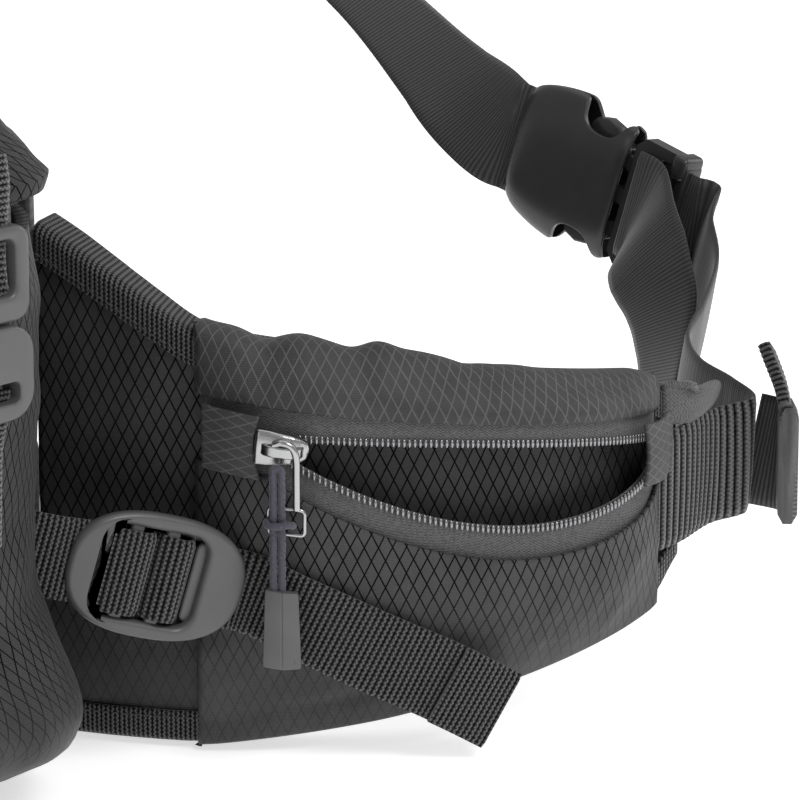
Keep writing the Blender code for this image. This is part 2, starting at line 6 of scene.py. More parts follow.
import bmesh
import bpy
import numpy as np
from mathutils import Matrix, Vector, noise
from mathutils.geometry import delaunay_2d_cdt


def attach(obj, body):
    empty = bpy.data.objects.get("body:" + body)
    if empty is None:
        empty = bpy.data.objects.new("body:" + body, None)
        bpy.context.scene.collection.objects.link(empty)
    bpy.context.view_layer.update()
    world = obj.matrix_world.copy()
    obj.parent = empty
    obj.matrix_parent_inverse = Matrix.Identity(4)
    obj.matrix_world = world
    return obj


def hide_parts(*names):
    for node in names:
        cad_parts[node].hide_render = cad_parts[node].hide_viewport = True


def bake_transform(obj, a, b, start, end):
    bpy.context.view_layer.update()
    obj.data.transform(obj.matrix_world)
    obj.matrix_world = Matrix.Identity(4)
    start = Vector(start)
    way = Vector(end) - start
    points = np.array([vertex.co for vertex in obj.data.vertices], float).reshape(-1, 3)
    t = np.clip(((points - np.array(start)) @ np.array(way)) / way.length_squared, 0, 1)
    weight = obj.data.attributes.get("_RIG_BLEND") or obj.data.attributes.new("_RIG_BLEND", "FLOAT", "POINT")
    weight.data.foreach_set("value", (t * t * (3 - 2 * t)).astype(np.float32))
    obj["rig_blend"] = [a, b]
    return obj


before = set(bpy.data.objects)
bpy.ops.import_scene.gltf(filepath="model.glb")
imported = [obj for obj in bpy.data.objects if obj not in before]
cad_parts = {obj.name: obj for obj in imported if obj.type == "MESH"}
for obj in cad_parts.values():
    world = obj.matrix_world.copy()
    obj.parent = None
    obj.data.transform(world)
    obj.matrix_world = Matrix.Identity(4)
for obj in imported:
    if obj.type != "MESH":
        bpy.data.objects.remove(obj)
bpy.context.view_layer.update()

MM = 0.001
HANDS = {1: "right", -1: "left"}
BELT_A, BELT_B = 145.0, 115.0  # half axes of the belt's inner ellipse
POCKET_START, POCKET_END = 43.5, 95.0
MOUTH_START, MOUTH_END = 50.0, 97.0
MOUTH_DROP = 16.5
SLIDER_FRONT, SLIDER_REAR = 51.4, 86.8
WING_START, WING_END = 27.5, 100.0
WING_TOP = ((20, 136), (29, 125.5), (32, 121), (43.5, 102), (62.5, 95.5), (76, 88), (95, 80.5), (100, 74.5))
WING_BOTTOM = ((20, 1.2), (30, 1.2), (43.5, 1.2), (62.5, 8), (73, 13), (91, 21), (96, 24), (100, 34))
ZIP_HEIGHT = ((44, 81), (92, 67))
BULGE = 8.5  # how far the pocket stands out at its fullest
UPPER_BULGE = BULGE * 0.75
WING_FACE, TAPE_LINE, POCKET_LINE = 12.2, 13.5, 14.7  # offsets from the belt's ellipse
HEM = 8.3  # from the zip's line to the edge of the pocket cloth
BODY_HALF_WIDTH, BODY_FRONT, BODY_REAR = 123.0, -233.0, -131.0
BODY_TOP, BODY_MIDDLE = 140.0, -185.0
LID_BOTTOM, LID_TOP, LID_HINGE_Y, LID_MIDDLE = 150.0, 181.0, -140.0, -195.0
OUTLINE_POINTS = 260
BELT_WEB, SIDE_WEB = 30.0, 20.0  # widths of webbing
# height, growth of the outline, swelling of its rear corners
BODY_LEVELS = ((0.0, -46, 0), (3, -34, 0), (8, -17, 3), (14, -4, 5.5), (21, 4.0, 7.5), (30, 4.2, 5.5),
               (42, -0.5, 2.5), (55, -4.0, 0), (68, -4.5, 0), (95, -0.8, 0), (126, 0, 0), (134, -3, 0),
               (140, -4.5, 0))
# height, growth, lean of the rear edge, swelling
LID_LEVELS = ((150.0, -5.0, 0, 0), (150.9, 1.6, 0, 2.5), (152.6, 4.6, 0, 4), (156, 4.9, 1, 5),
              (161.5, 1.6, 3, 3.5), (168, -5.0, 8, 1.5), (176, -18, 19, 0), (181, -36, 38, 0))


# ---------------------------------------------------------------- numbers and points
def clamp(value):
    return min(1.0, max(0.0, value))


def spread(start, end, count):
    return [start + (end - start) * i / (count - 1) for i in range(count)]


def circle(count):
    """Cosine and sine of evenly spread angles round a full turn."""
    return [(math.cos(2 * math.pi * k / count), math.sin(2 * math.pi * k / count)) for k in range(count)]


def boxy(value, power):
    """A sine or cosine pushed towards its ends, which squares off a round section."""
    return math.copysign(abs(value) ** power, value)


def table(stations, value):
    """Height at an angle, from a short list of (angle, height) stations."""
    return float(np.interp(value, [s[0] for s in stations], [s[1] for s in stations]))


def smooth_table(stations, value):
    """The same, averaged over a few degrees so that no corner shows."""
    reach = 2.2
    total = 0.0
    for k in range(-3, 4):
        total += table(stations, value + k * reach / 3)
    return total / 7


def profile(levels, z, column):
    return float(np.interp(z, [v[0] for v in levels], [v[column] for v in levels]))


def bump(value, start, end, power):
    t = (value - start) / (end - start)
    return math.sin(math.pi * t) ** power if 0 < t < 1 else 0.0


def wave(x, y, z, scale, seed=0.0):
    return noise.noise(Vector((x / scale + seed, y / scale - seed, z / scale + seed * 0.5)))


def metres(point):
    return [c * MM for c in point]


def mirrored(points, side):
    return [Vector((side * p[0], p[1], p[2])) for p in points]


def running_length(points):
    """Length along a line of points, up to each of them."""
    out = [0.0]
    for p, q in zip(points, points[1:]):
        out.append(out[-1] + (q - p).length)
    return out


def read_along(values, lengths, want):
    """Vectors at the wanted lengths, from values known at other lengths."""
    known = np.array([tuple(v) for v in values])
    return [Vector(p) for p in zip(*[np.interp(want, lengths, known[:, k]) for k in range(3)])]


def catmull(points, per_span):
    """Smooth curve through points."""
    pts = [Vector(p) for p in points]
    pts = [pts[0] * 2 - pts[1]] + pts + [pts[-1] * 2 - pts[-2]]
    out = []
    for i in range(1, len(pts) - 2):
        p0, p1, p2, p3 = pts[i - 1:i + 3]
        for k in range(per_span):
            t = k / per_span
            out.append(0.5 * (2 * p1 + (p2 - p0) * t + (2 * p0 - 5 * p1 + 4 * p2 - p3) * t * t
                              + (3 * p1 - p0 - 3 * p2 + p3) * t ** 3))
    out.append(pts[-2])
    return out


def even_path(points, step):
    """Points spaced evenly along a smooth curve, and the length up to each."""
    dense = catmull(points, 24)
    lengths = running_length(dense)
    count = max(2, int(round(lengths[-1] / step)) + 1)
    want = np.linspace(0, lengths[-1], count)
    return read_along(dense, lengths, want), list(want)


def turned(directions, share):
    """Direction at a share of the way through a list of evenly spread directions."""
    spot = clamp(share) * (len(directions) - 1)
    k = min(int(spot), len(directions) - 2)
    return Vector(directions[k]).lerp(Vector(directions[k + 1]), spot - k)


# ---------------------------------------------------------------- the belt and its wings
def belt(angle, offset, height):
    """Point at an angle round the belt's ellipse, an offset outwards from it."""
    t = math.radians(angle)
    x, y = BELT_A * math.sin(t), -BELT_B * math.cos(t)
    nx, ny = x / BELT_A ** 2, y / BELT_B ** 2
    k = offset / math.hypot(nx, ny)
    return Vector((x + nx * k, y + ny * k, height))


def belt_normal(angle):
    return (belt(angle, 1, 0) - belt(angle, 0, 0)).normalized()


def arc_lengths(angles, offset):
    return running_length([belt(a, offset, 0) for a in angles])


def angle_of(p):
    """Belt angle of a point near the outer face of either wing."""
    x, y = abs(p[0]), p[1]
    angle = math.degrees(math.atan2(x / BELT_A, -y / BELT_B))
    for _ in range(6):
        base = belt(angle, 0, 0)
        t = math.radians(angle)
        tangent = Vector((BELT_A * math.cos(t), BELT_B * math.sin(t), 0))
        angle += math.degrees((Vector((x, y, 0)) - base).dot(tangent) / tangent.length_squared) * 0.9
    return angle


def swell(angle):
    """How full the pocket is at an angle, 0 at both ends to 1."""
    t = (angle - POCKET_START) / (POCKET_END - POCKET_START)
    return 1.0 - abs(2 * clamp(t) - 1) ** 4


def tape_out(angle, full):
    return TAPE_LINE + full * swell(angle)


def pocket_height(angle):
    return table(ZIP_HEIGHT, angle)


def mouth(angle):
    """How much of the sagging lip's drop a point at this angle takes, 0 to 1."""
    return bump(angle, MOUTH_START, MOUTH_END, 0.85)


def lip(angle, side):
    """Height of the pocket's lower lip, which sags on the right, where the zip is open."""
    drop = MOUTH_DROP if side > 0 else 0.0
    return pocket_height(angle) - drop * mouth(angle)


def wing_top(angle):
    return smooth_table(WING_TOP, angle)


def wing_bottom(angle):
    return max(1.2, smooth_table(WING_BOTTOM, angle))


# ---------------------------------------------------------------- meshes
def link(name, mesh):
    obj = bpy.data.objects.new(name, mesh)
    bpy.context.scene.collection.objects.link(obj)
    return obj


def edit(mesh, action):
    """Run bmesh operations on a mesh."""
    bm = bmesh.new()
    bm.from_mesh(mesh)
    action(bm)
    bm.to_mesh(mesh)
    bm.free()


def shade_smooth(mesh):
    mesh.polygons.foreach_set("use_smooth", [True] * len(mesh.polygons))


def settle(obj, smooth_angle=None):
    """Turn an object's modifiers into plain mesh."""
    graph = bpy.context.evaluated_depsgraph_get()
    mesh = bpy.data.meshes.new_from_object(obj.evaluated_get(graph))
    obj.modifiers.clear()
    obj.data = mesh
    if smooth_angle:
        shade_smooth(mesh)
        mesh.set_sharp_from_angle(angle=math.radians(smooth_angle))
    return obj


def weld(obj, distance=0.00002):
    """Join the points of a closed ring that has shrunk to a line."""
    def join(bm):
        bmesh.ops.remove_doubles(bm, verts=bm.verts, dist=distance)
        bmesh.ops.dissolve_degenerate(bm, edges=bm.edges, dist=distance)

    edit(obj.data, join)


def round_edges(obj, width, segments, angle):
    """Bevel the edges that are sharper than an angle."""
    mod = obj.modifiers.new("edges", "BEVEL")
    mod.width = width * MM
    mod.segments = segments
    mod.limit_method = "ANGLE"
    mod.angle_limit = math.radians(angle)


def make_mesh(name, verts, faces, material, uvs=None, smooth=True, outward=True):
    """Mesh object from millimetre points; uvs are one (u, v) in millimetres for each vertex."""
    mesh = bpy.data.meshes.new(name)
    mesh.from_pydata([metres(v) for v in verts], [], faces)
    layer = mesh.uv_layers.new(name="UVMap")
    if uvs is not None:
        index = np.zeros(len(mesh.loops), np.int32)
        mesh.loops.foreach_get("vertex_index", index)
        layer.data.foreach_set("uv", np.array(uvs, np.float32)[index].ravel())
    mesh.materials.append(material)
    if smooth:
        shade_smooth(mesh)
    obj = link(name, mesh)
    if outward:
        edit(mesh, lambda bm: bmesh.ops.recalc_face_normals(bm, faces=bm.faces))
    return obj


def second_material(obj, material, chosen):
    """Give a second material to the faces whose number passes chosen."""
    obj.data.materials.append(material)
    for face in obj.data.polygons:
        if chosen(face.index):
            face.material_index = 1


def slab_faces(rows, columns):
    """Faces of a closed solid between two equal grids of points, one after the other."""
    n = rows * columns
    faces = []
    for i in range(rows - 1):
        for j in range(columns - 1):
            a = i * columns + j
            quad = (a, a + columns, a + columns + 1, a + 1)
            faces += [quad, tuple(n + k for k in reversed(quad))]
    rim = list(range(columns)) + [i * columns + columns - 1 for i in range(1, rows)]
    rim += [(rows - 1) * columns + j for j in range(columns - 2, -1, -1)]
    rim += [i * columns for i in range(rows - 2, 0, -1)]
    for a, b in zip(rim, rim[1:] + rim[:1]):
        faces.append((a, b, n + b, n + a))
    return faces


def cloth(name, rows, material, uvs, thick, side=1):
    """Thick cloth from a grid of points on its outer face; it thickens inwards."""
    outer = np.array([[tuple(p) for p in row] for row in rows])
    normal = np.cross(np.gradient(outer, axis=0), np.gradient(outer, axis=1))
    normal /= np.maximum(np.linalg.norm(normal, axis=2, keepdims=True), 1e-9)
    verts = np.concatenate([outer.reshape(-1, 3), (outer - normal * thick).reshape(-1, 3)])
    verts[:, 0] *= side
    uv = np.array([[tuple(p) for p in row] for row in uvs]).reshape(-1, 2)
    return make_mesh(name, verts, slab_faces(*outer.shape[:2]), material, np.concatenate([uv, uv]))


def tube(name, rings, material, uvs=None, smooth=True, closed=False, caps=True):
    """Skin through equal rings."""
    count = len(rings[0])
    verts = [p for ring in rings for p in ring]
    faces = []
    rows = len(rings)
    for i in range(rows if closed else rows - 1):
        a, b = i * count, ((i + 1) % rows) * count
        for k in range(count):
            n = (k + 1) % count
            faces.append((a + k, a + n, b + n, b + k))
    if caps and not closed:
        faces.append(tuple(range(count))[::-1])
        faces.append(tuple(range((rows - 1) * count, rows * count)))
    flat = None if uvs is None else [q for ring in uvs for q in ring]
    return make_mesh(name, verts, faces, material, flat, smooth)


def web(name, points, width, thick, material, across=(0, 0, 1), turns=None, side=1, rib=1.8, height=0.0,
        step=None, smooth_after=None, smooth_material=None, ripple=0.0):
    """Woven strap along a path. rib is the pitch of its cross ribs and height how proud they stand.
    Past the share smooth_after the ribs sink away and the second material takes over."""
    step = step or (rib / 4 if height > 0 else 2.5)
    path, along = even_path(points, step)
    columns = 12
    edge_thinning = 0.45
    sink = 0.08  # share of the length over which the ribs sink
    ripple_reach = 17.0
    weave_shift = width * 1.3  # keeps the weave of the two faces apart
    there = [(k, 1) for k in range(columns + 1)]
    back = [(k, -1) for k in range(columns, -1, -1)]
    rings, uvs = [], []
    for i, p in enumerate(path):
        share = i / (len(path) - 1)
        tangent = (path[min(i + 1, len(path) - 1)] - path[max(i - 1, 0)]).normalized()
        wanted = Vector(across) if turns is None else turned(turns, share)
        w = (wanted - tangent * tangent.dot(wanted)).normalized()
        n = tangent.cross(w)
        proud = height
        if smooth_after is not None:
            proud = height * min(max((smooth_after + sink / 2 - share) / sink, 0.1), 1)
        half = thick / 2 + proud * (0.5 + 0.5 * math.cos(2 * math.pi * along[i] / rib))
        ring, uv = [], []
        for k, face in there + back:
            at = (k / columns - 0.5) * width
            rounding = 1.0 if 0 < k < columns else edge_thinning
            cup = ripple * math.sin(along[i] / ripple_reach) * math.cos(math.pi * at / width)
            ring.append(p + w * at + n * (face * half * rounding + cup))
            uv.append((along[i], at if face > 0 else at + weave_shift))
        rings.append(mirrored(ring, side))
        uvs.append(uv)
    obj = tube(name, rings, material, uvs)
    if smooth_material is not None:
        first = smooth_after * (len(rings) - 1)
        second_material(obj, smooth_material, lambda k: k // (2 * (columns + 1)) > first)
    return obj


def basis(centre, along, up):
    """Axes of a moulded part: its centre, length, height and thickness."""
    a = Vector(along).normalized()
    u = (Vector(up) - a * a.dot(Vector(up))).normalized()
    return Vector(centre), a, u, a.cross(u)


def place(axes, p):
    c, a, u, n = axes
    return c + a * p[0] + u * p[1] + n * p[2]


def rounded(half_x, half_y, radius, steps=5, centre=(0, 0)):
    """Outline of a rectangle with round corners."""
    out = []
    for k, (sx, sy) in enumerate(((1, 1), (-1, 1), (-1, -1), (1, -1))):
        for j in range(steps + 1):
            a = math.radians(90 * k + 90 * j / steps)
            out.append((centre[0] + sx * (half_x - radius) + radius * math.cos(a),
                        centre[1] + sy * (half_y - radius) + radius * math.sin(a)))
    return out


def oval(half_x, half_y, power, count):
    return [(half_x * boxy(c, power), half_y * boxy(s, power)) for c, s in circle(count)]


def inside(loop, q):
    hit = False
    for (xa, ya), (xb, yb) in zip(loop, loop[1:] + loop[:1]):
        if (ya > q[1]) != (yb > q[1]) and q[0] < (xb - xa) * (q[1] - ya) / (yb - ya) + xa:
            hit = not hit
    return hit


def plate(name, outline, holes, z0, z1, material, axes, side=1, bevel=0.7, segments=3):
    """Moulded plate with holes and rounded edges."""
    points, edges = [], []
    for loop in [outline] + holes:
        first = len(points)
        points += [Vector(p) for p in loop]
        edges += [(first + k, first + (k + 1) % len(loop)) for k in range(len(loop))]
    verts, _, tris, _, _, _ = delaunay_2d_cdt(points, edges, [], 1, 1e-6)
    keep = []
    for tri in tris:
        mid = sum((verts[k] for k in tri), Vector((0, 0))) / len(tri)
        if inside(outline, mid) and not any(inside(h, mid) for h in holes):
            keep.append(tuple(tri))
    count = len(verts)
    solid = [(v.x, v.y, z0) for v in verts] + [(v.x, v.y, z1) for v in verts]
    faces = [tuple(reversed(t)) for t in keep] + [tuple(k + count for k in t) for t in keep]
    used = {(tri[k], tri[(k + 1) % 3]) for tri in keep for k in range(3)}
    for a, b in used:
        if (b, a) not in used:
            faces.append((a, b, b + count, a + count))
    world = mirrored([place(axes, p) for p in solid], side)
    obj = make_mesh(name, world, faces, material, [(p[0], p[1]) for p in solid])
    edit(obj.data, lambda bm: bmesh.ops.dissolve_limit(bm, angle_limit=math.radians(1), verts=bm.verts,
                                                       edges=bm.edges))
    round_edges(obj, bevel, segments, 40)
    return settle(obj, smooth_angle=50)


def wire(name, points, radius, material, side=1, closed=False, sides=3):
    """Round wire or cord along points, as a mesh."""
    curve = bpy.data.curves.new(name, "CURVE")
    curve.dimensions = "3D"
    curve.bevel_depth = radius * MM
    curve.bevel_resolution = sides
    curve.use_fill_caps = True
    spline = curve.splines.new("POLY")
    pts = mirrored(points, side)
    spline.points.add(len(pts) - 1)
    for sp, p in zip(spline.points, pts):
        sp.co = (*metres(p), 1)
    spline.use_cyclic_u = closed
    obj = link(name, curve)
    graph = bpy.context.evaluated_depsgraph_get()
    mesh = bpy.data.meshes.new_from_object(obj.evaluated_get(graph))
    bpy.data.objects.remove(obj)
    mesh.materials.clear()
    mesh.materials.append(material)
    shade_smooth(mesh)
    if not mesh.uv_layers:
        mesh.uv_layers.new(name="UVMap")
    return link(name, mesh)


def grains(name, spots, material, size, side=1):
    """Many small rounded bars in one mesh. spots are (centre, long axis, normal)."""
    rings, segments = 3, 6
    shape, quads = [], []
    for i in range(rings + 2):
        a = math.pi * i / (rings + 1)
        fat = math.sin(a) ** 0.7
        shape += [(math.cos(a), fat * c, fat * s) for c, s in circle(segments)]
    for i in range(rings + 1):
        for k in range(segments):
            a, b = i * segments + k, i * segments + (k + 1) % segments
            quads.append((a, b, b + segments, a + segments))
    verts, faces = [], []
    for centre, axis, normal in spots:
        a = Vector(axis).normalized()
        n = (Vector(normal) - a * a.dot(Vector(normal))).normalized()
        b = a.cross(n)
        first = len(verts)
        for x, y, z in shape:
            p = Vector(centre) + a * x * size[0] / 2 + b * y * size[1] / 2 + n * z * size[2] / 2
            verts.append(Vector((side * p.x, p.y, p.z)))
        faces += [tuple(first + k for k in q) for q in quads]
    return make_mesh(name, verts, faces, material)


def stitches(name, points, normals, material, side=1, pitch=2.6, length=1.9, wide=0.45):
    """Row of thread stitches lying on a surface."""
    lengths = running_length(points)
    middles = (np.arange(int(lengths[-1] / pitch)) + 0.5) * pitch
    here = read_along(points, lengths, middles)
    ahead = read_along(points, lengths, middles + 0.5)
    spots = [(p, q - p, n) for p, q, n in zip(here, ahead, read_along(normals, lengths, middles))]
    return grains(name, spots, material, (length, wide, wide * 0.8), side)


# ---------------------------------------------------------------- materials
class Value:
    """A node's output that plain arithmetic turns into math nodes."""

    def __init__(self, socket):
        self.socket = socket

    def math(self, operation, other=None):
        tree = self.socket.id_data
        n = tree.nodes.new("ShaderNodeMath")
        n.operation = operation
        tree.links.new(self.socket, n.inputs[0])
        if isinstance(other, Value):
            tree.links.new(other.socket, n.inputs[1])
        elif other is not None:
            n.inputs[1].default_value = other
        return Value(n.outputs[0])

    def __add__(self, other):
        return self.math("ADD", other)

    def __sub__(self, other):
        return self.math("SUBTRACT", other)

    def __mul__(self, other):
        return self.math("MULTIPLY", other)

    def clamped(self):
        self.socket.node.use_clamp = True
        return self

    def feed(self, slot):
        self.socket.id_data.links.new(self.socket, slot)


def shader(name, colour, rough, metal=0.0, sheen=0.0, specular=0.5):
    mat = bpy.data.materials.new(name)
    mat.use_nodes = True
    tree = mat.node_tree
    b = tree.nodes["Principled BSDF"]
    b.inputs["Base Color"].default_value = (*colour, 1)
    b.inputs["Roughness"].default_value = rough
    b.inputs["Metallic"].default_value = metal
    b.inputs["Sheen Weight"].default_value = sheen
    b.inputs["Sheen Roughness"].default_value = 0.4
    b.inputs["Specular IOR Level"].default_value = specular
    return mat, tree, b


def uv_values(tree):
    uv = tree.nodes.new("ShaderNodeUVMap")
    uv.uv_map = "UVMap"
    split = tree.nodes.new("ShaderNodeSeparateXYZ")
    tree.links.new(uv.outputs[0], split.inputs[0])
    return Value(split.outputs[0]), Value(split.outputs[1])


def noise_value(tree, scale, detail):
    coords = tree.nodes.new("ShaderNodeTexCoord")
    n = tree.nodes.new("ShaderNodeTexNoise")
    n.inputs["Scale"].default_value = scale
    n.inputs["Detail"].default_value = detail
    n.inputs["Roughness"].default_value = 0.55
    tree.links.new(coords.outputs["Object"], n.inputs["Vector"])
    return Value(n.outputs[0])


def remap(value, low, high, from_low=0.0, from_high=1.0):
    n = value.socket.id_data.nodes.new("ShaderNodeMapRange")
    value.feed(n.inputs[0])
    for slot, number in zip(n.inputs[1:5], (from_low, from_high, low, high)):
        slot.default_value = number
    return Value(n.outputs[0])


def object_height(tree):
    where = tree.nodes.new("ShaderNodeTexCoord")
    split = tree.nodes.new("ShaderNodeSeparateXYZ")
    tree.links.new(where.outputs["Object"], split.inputs[0])
    return Value(split.outputs[2])


def mix_colour(b, factor, dark, light):
    """Base colour between two, by a value from 0 to 1."""
    ramp = b.id_data.nodes.new("ShaderNodeValToRGB")
    ramp.color_ramp.elements[0].color = (*dark, 1)
    ramp.color_ramp.elements[1].color = (*light, 1)
    factor.feed(ramp.inputs[0])
    Value(ramp.outputs[0]).feed(b.inputs["Base Color"])


def add_bump(b, height, strength, distance):
    n = b.id_data.nodes.new("ShaderNodeBump")
    n.inputs["Strength"].default_value = strength
    n.inputs["Distance"].default_value = distance * MM
    height.feed(n.inputs["Height"])
    Value(n.outputs[0]).feed(b.inputs["Normal"])


def follow_specular(b, shade, amount):
    """Let the sheen of the threads fade in the gaps between them."""
    (shade * amount).feed(b.inputs["Specular IOR Level"])


def wavy(value, pitch, kind="SINE"):
    return (value * (2 * math.pi / pitch)).math(kind)


def from_half(value):
    """Distance of a value's fraction from a half."""
    return (value.math("FRACT") - 0.5).math("ABSOLUTE")


def thin_line(value, edge):
    """1 where value is a whole number, fading to 0 at edge on both sides."""
    return ((from_half(value) - (0.5 - edge)) * (1 / edge)).clamped()


def ripstop(name, tone, wide=3.3, tall=6.7, dark=0.6, light=0.0):
    """Nylon with raised diamond threads over a fine rib. dark and light weigh the colour of the threads;
    light lightens them into a painted sheen. Near the ground the threads fade out under a painted grazing
    sheen."""
    mat, tree, b = shader(name, (tone, tone, tone * 1.06), 0.55, sheen=0.05, specular=0.42)
    u, v = uv_values(tree)
    across, along = u * (1 / wide), v * (1 / tall)
    threads = thin_line(across + along, 0.09).math("MAXIMUM", thin_line(across - along, 0.09))
    # Painted grazing sheen: the threads fade out towards the ground.
    threads = threads * remap(object_height(tree), 0.22, 1.0, 0.018, 0.046)
    weave = (wavy(v, 0.55) + wavy(u, 0.5) * 0.4) * 0.5
    grain = noise_value(tree, 2600, 2)
    shade = noise_value(tree, 55, 4) * 0.3 + 0.30 + weave * 0.07 + (grain - 0.5) * 0.22
    # A positive light lightens the threads into a painted sheen, as if they caught the lamp.
    shade = (shade + threads * (light - dark)).clamped()
    mix_colour(b, shade, (tone * 0.03,) * 3, (tone * 2.1, tone * 2.1, tone * 2.16))
    follow_specular(b, shade, 0.7)
    creases = noise_value(tree, 42, 3)
    add_bump(b, threads * 0.8 + weave * 0.3 + creases * 14.0, 0.5, 0.16)
    return mat


def woven(name, tone, pitch_u, pitch_v, bump_size=0.3, strength=0.7, sheen=0.3, depth=0.8, gap=0.04,
          crest=2.2):
    """Webbing: beads where the warp crosses the ribs, with painted shade in the grooves between them and
    painted highlights on the beads.
    """
    mat, tree, b = shader(name, (tone, tone, tone * 1.03), 0.6, sheen=sheen, specular=0.45)
    u, v = uv_values(tree)
    rib = wavy(u, pitch_u, "COSINE") * 0.5 + 0.5
    shift = (u * (1 / pitch_u)).math("FLOOR") * 0.5
    bead = wavy(v * (1 / pitch_v) + shift, 1, "COSINE") * 0.5 + 0.5
    both = rib * (bead * depth + (1 - depth))
    grain = noise_value(tree, 1500, 2)
    shade = (both + (grain - 0.5) * 0.35).clamped()
    # Painted shade in the grooves, down to gap times the tone, and painted highlight on the crests, up to
    # crest times the tone.
    mix_colour(b, shade, (tone * gap,) * 3, (tone * crest, tone * crest, tone * crest * 1.02))
    follow_specular(b, shade, 0.6)
    add_bump(b, both, strength, bump_size)
    return mat


def knit(name, tone):
    """Zip tape: a fine herringbone knit."""
    mat, tree, b = shader(name, (tone,) * 3, 0.8, sheen=0.2, specular=0.3)
    u, v = uv_values(tree)
    zig = from_half(u * (1 / 1.3))
    shade = (wavy(v + zig * 1.1, 0.7) * 0.25 + noise_value(tree, 1500, 2)).clamped()
    mix_colour(b, shade, (tone * 0.35,) * 3, (tone * 1.9,) * 3)
    add_bump(b, shade, 0.6, 0.25)
    return mat


def moulded(name, tone, rough):
    """Acetal buckle plastic with a faint spark-eroded grain."""
    mat, tree, b = shader(name, (tone, tone, tone * 1.04), rough, specular=0.5)
    grain = noise_value(tree, 2200, 2)
    shade = grain * 0.4 + noise_value(tree, 120, 3) * 0.6
    mix_colour(b, shade, (tone * 0.8,) * 3, (tone * 1.2, tone * 1.2, tone * 1.26))
    add_bump(b, grain, 0.25, 0.08)
    return mat


def metal(name, tone, rough):
    mat, tree, b = shader(name, (tone, tone, tone * 1.01), rough, metal=1.0)
    grain = noise_value(tree, 700, 3)
    remap(grain, rough * 0.7, rough * 1.5).feed(b.inputs["Roughness"])
    add_bump(b, grain, 0.15, 0.05)
    return mat


def braid(name, tone):
    mat, tree, b = shader(name, tone, 0.75, sheen=0.3)
    grain = noise_value(tree, 1700, 3)
    mix_colour(b, grain, tuple(c * 0.4 for c in tone), tuple(c * 1.5 for c in tone))
    add_bump(b, grain, 0.8, 0.35)
    return mat


def spacer_mesh(name, tone=0.03, cell=2.6):
    """Padded mesh with open cells, which are painted dark as the shade inside holes that the surface doesn't
    cut.
    """
    mat, tree, b = shader(name, (tone,) * 3, 0.85, sheen=0.3, specular=0.3)
    uv = tree.nodes.new("ShaderNodeUVMap")
    uv.uv_map = "UVMap"
    vor = tree.nodes.new("ShaderNodeTexVoronoi")
    vor.inputs["Scale"].default_value = 1 / cell
    vor.inputs["Randomness"].default_value = 0.15
    tree.links.new(uv.outputs[0], vor.inputs["Vector"])
    cells = (Value(vor.outputs[0]) * 1.7).clamped()
    shade = cells * 0.75 + noise_value(tree, 1300, 2) * 0.25
    # The dark cells are painted shade in the holes.
    mix_colour(b, shade, (tone * 0.3,) * 3, (tone * 2.0,) * 3)
    add_bump(b, shade, 0.8, 0.6)
    return mat


CLOTH = ripstop("ripstop_cloth", 0.031)
CLOTH_POCKET = ripstop("ripstop_pocket", 0.046)
# The upper panel and the garage flaps take threads lightened into a painted sheen.
CLOTH_UPPER = ripstop("ripstop_upper", 0.037, dark=0.0, light=0.5)
CLOTH_FLAP = ripstop("ripstop_flap", 0.046, wide=2.6, tall=6.0, dark=0.0, light=0.45)
LINING = woven("lining_cloth", 0.05, 0.7, 0.7, 0.1, 0.4, 0.2)
STRAP = woven("webbing", 0.055, 1.45, 1.15)
STRAP_WIDE = woven("webbing_wide", 0.058, 2.6, 1.15, 0.35, 0.8, depth=0.55, gap=0.0)
STRAP_SMOOTH = woven("webbing_smooth", 0.036, 0.9, 0.8, 0.02, 0.12, depth=0.4, gap=0.82, crest=1.12)
BINDING = woven("binding_tape", 0.046, 1.15, 1.1, 0.2, 0.7)
TAPE = knit("zip_tape", 0.078)
PLASTIC = moulded("buckle_plastic", 0.088, 0.36)
PLASTIC_DARK = moulded("waist_buckle_plastic", 0.024, 0.27)
PLASTIC_TAB = moulded("tab_plastic", 0.09, 0.5)
NICKEL = metal("nickel", 0.40, 0.2)
CORD = braid("pull_cord_braid", (0.060, 0.057, 0.078))
MESH_PAD = spacer_mesh("spacer_mesh")
THREAD = shader("thread", (0.04, 0.04, 0.044), 0.7)[0]
COIL = shader("zip_coil", (0.30, 0.30, 0.31), 0.2, metal=0.7, specular=0.9)[0]


def dress(obj, body, slot, *nodes):
    """Ride a body and stand for CAD nodes, in one call; slot is not used. A piece that is blended
    between two bodies afterwards takes None."""
    if body is not None:
        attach(obj, body)
    if nodes:
        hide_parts(*nodes)
    return obj


def finish_node(name, material):
    """Give a CAD node that stays in view its finished material."""
    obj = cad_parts[name]
    obj.data.materials.clear()
    obj.data.materials.append(material)
    return obj


def ribbed(name, points, side, across=(0, 0, 1), width=SIDE_WEB, thick=1.2):
    """A run of the ribbed webbing that the side and compression straps are made of."""
    return web(name, points, width, thick, STRAP, across=across, side=side, rib=1.45, height=0.3)


# ---------------------------------------------------------------- body and lid
def body_outline(grow, rear_line, puff):
    """Points of the body's plan: a flat rear, swollen rear corners and a round front."""
    right = [(0.0, rear_line), (35.0, rear_line), (66.0, rear_line)]
    corner_x, corner_y = 68.0, -172.0
    half = BODY_HALF_WIDTH + grow
    reach = rear_line - corner_y
    steps = 8
    for k in range(1, steps + 1):
        a = math.radians(90 - 90 * k / steps)
        swollen = puff * abs(math.sin(2 * a)) ** 0.8
        right.append((corner_x + (half - corner_x + swollen) * math.cos(a),
                      min(corner_y + (reach + swollen) * math.sin(a), rear_line)))
    front = BODY_FRONT - grow * 0.6
    radius = 48.0 + grow
    for k in range(1, 5):
        a = math.radians(90 * k / 4)
        right.append((half - radius + radius * math.cos(a), front + radius - radius * math.sin(a)))
    right.append((35.0, front - 2.5))
    right.append((0.0, front - 3.0))
    left = [(-x, y) for x, y in right[-2:0:-1]]
    return right + left


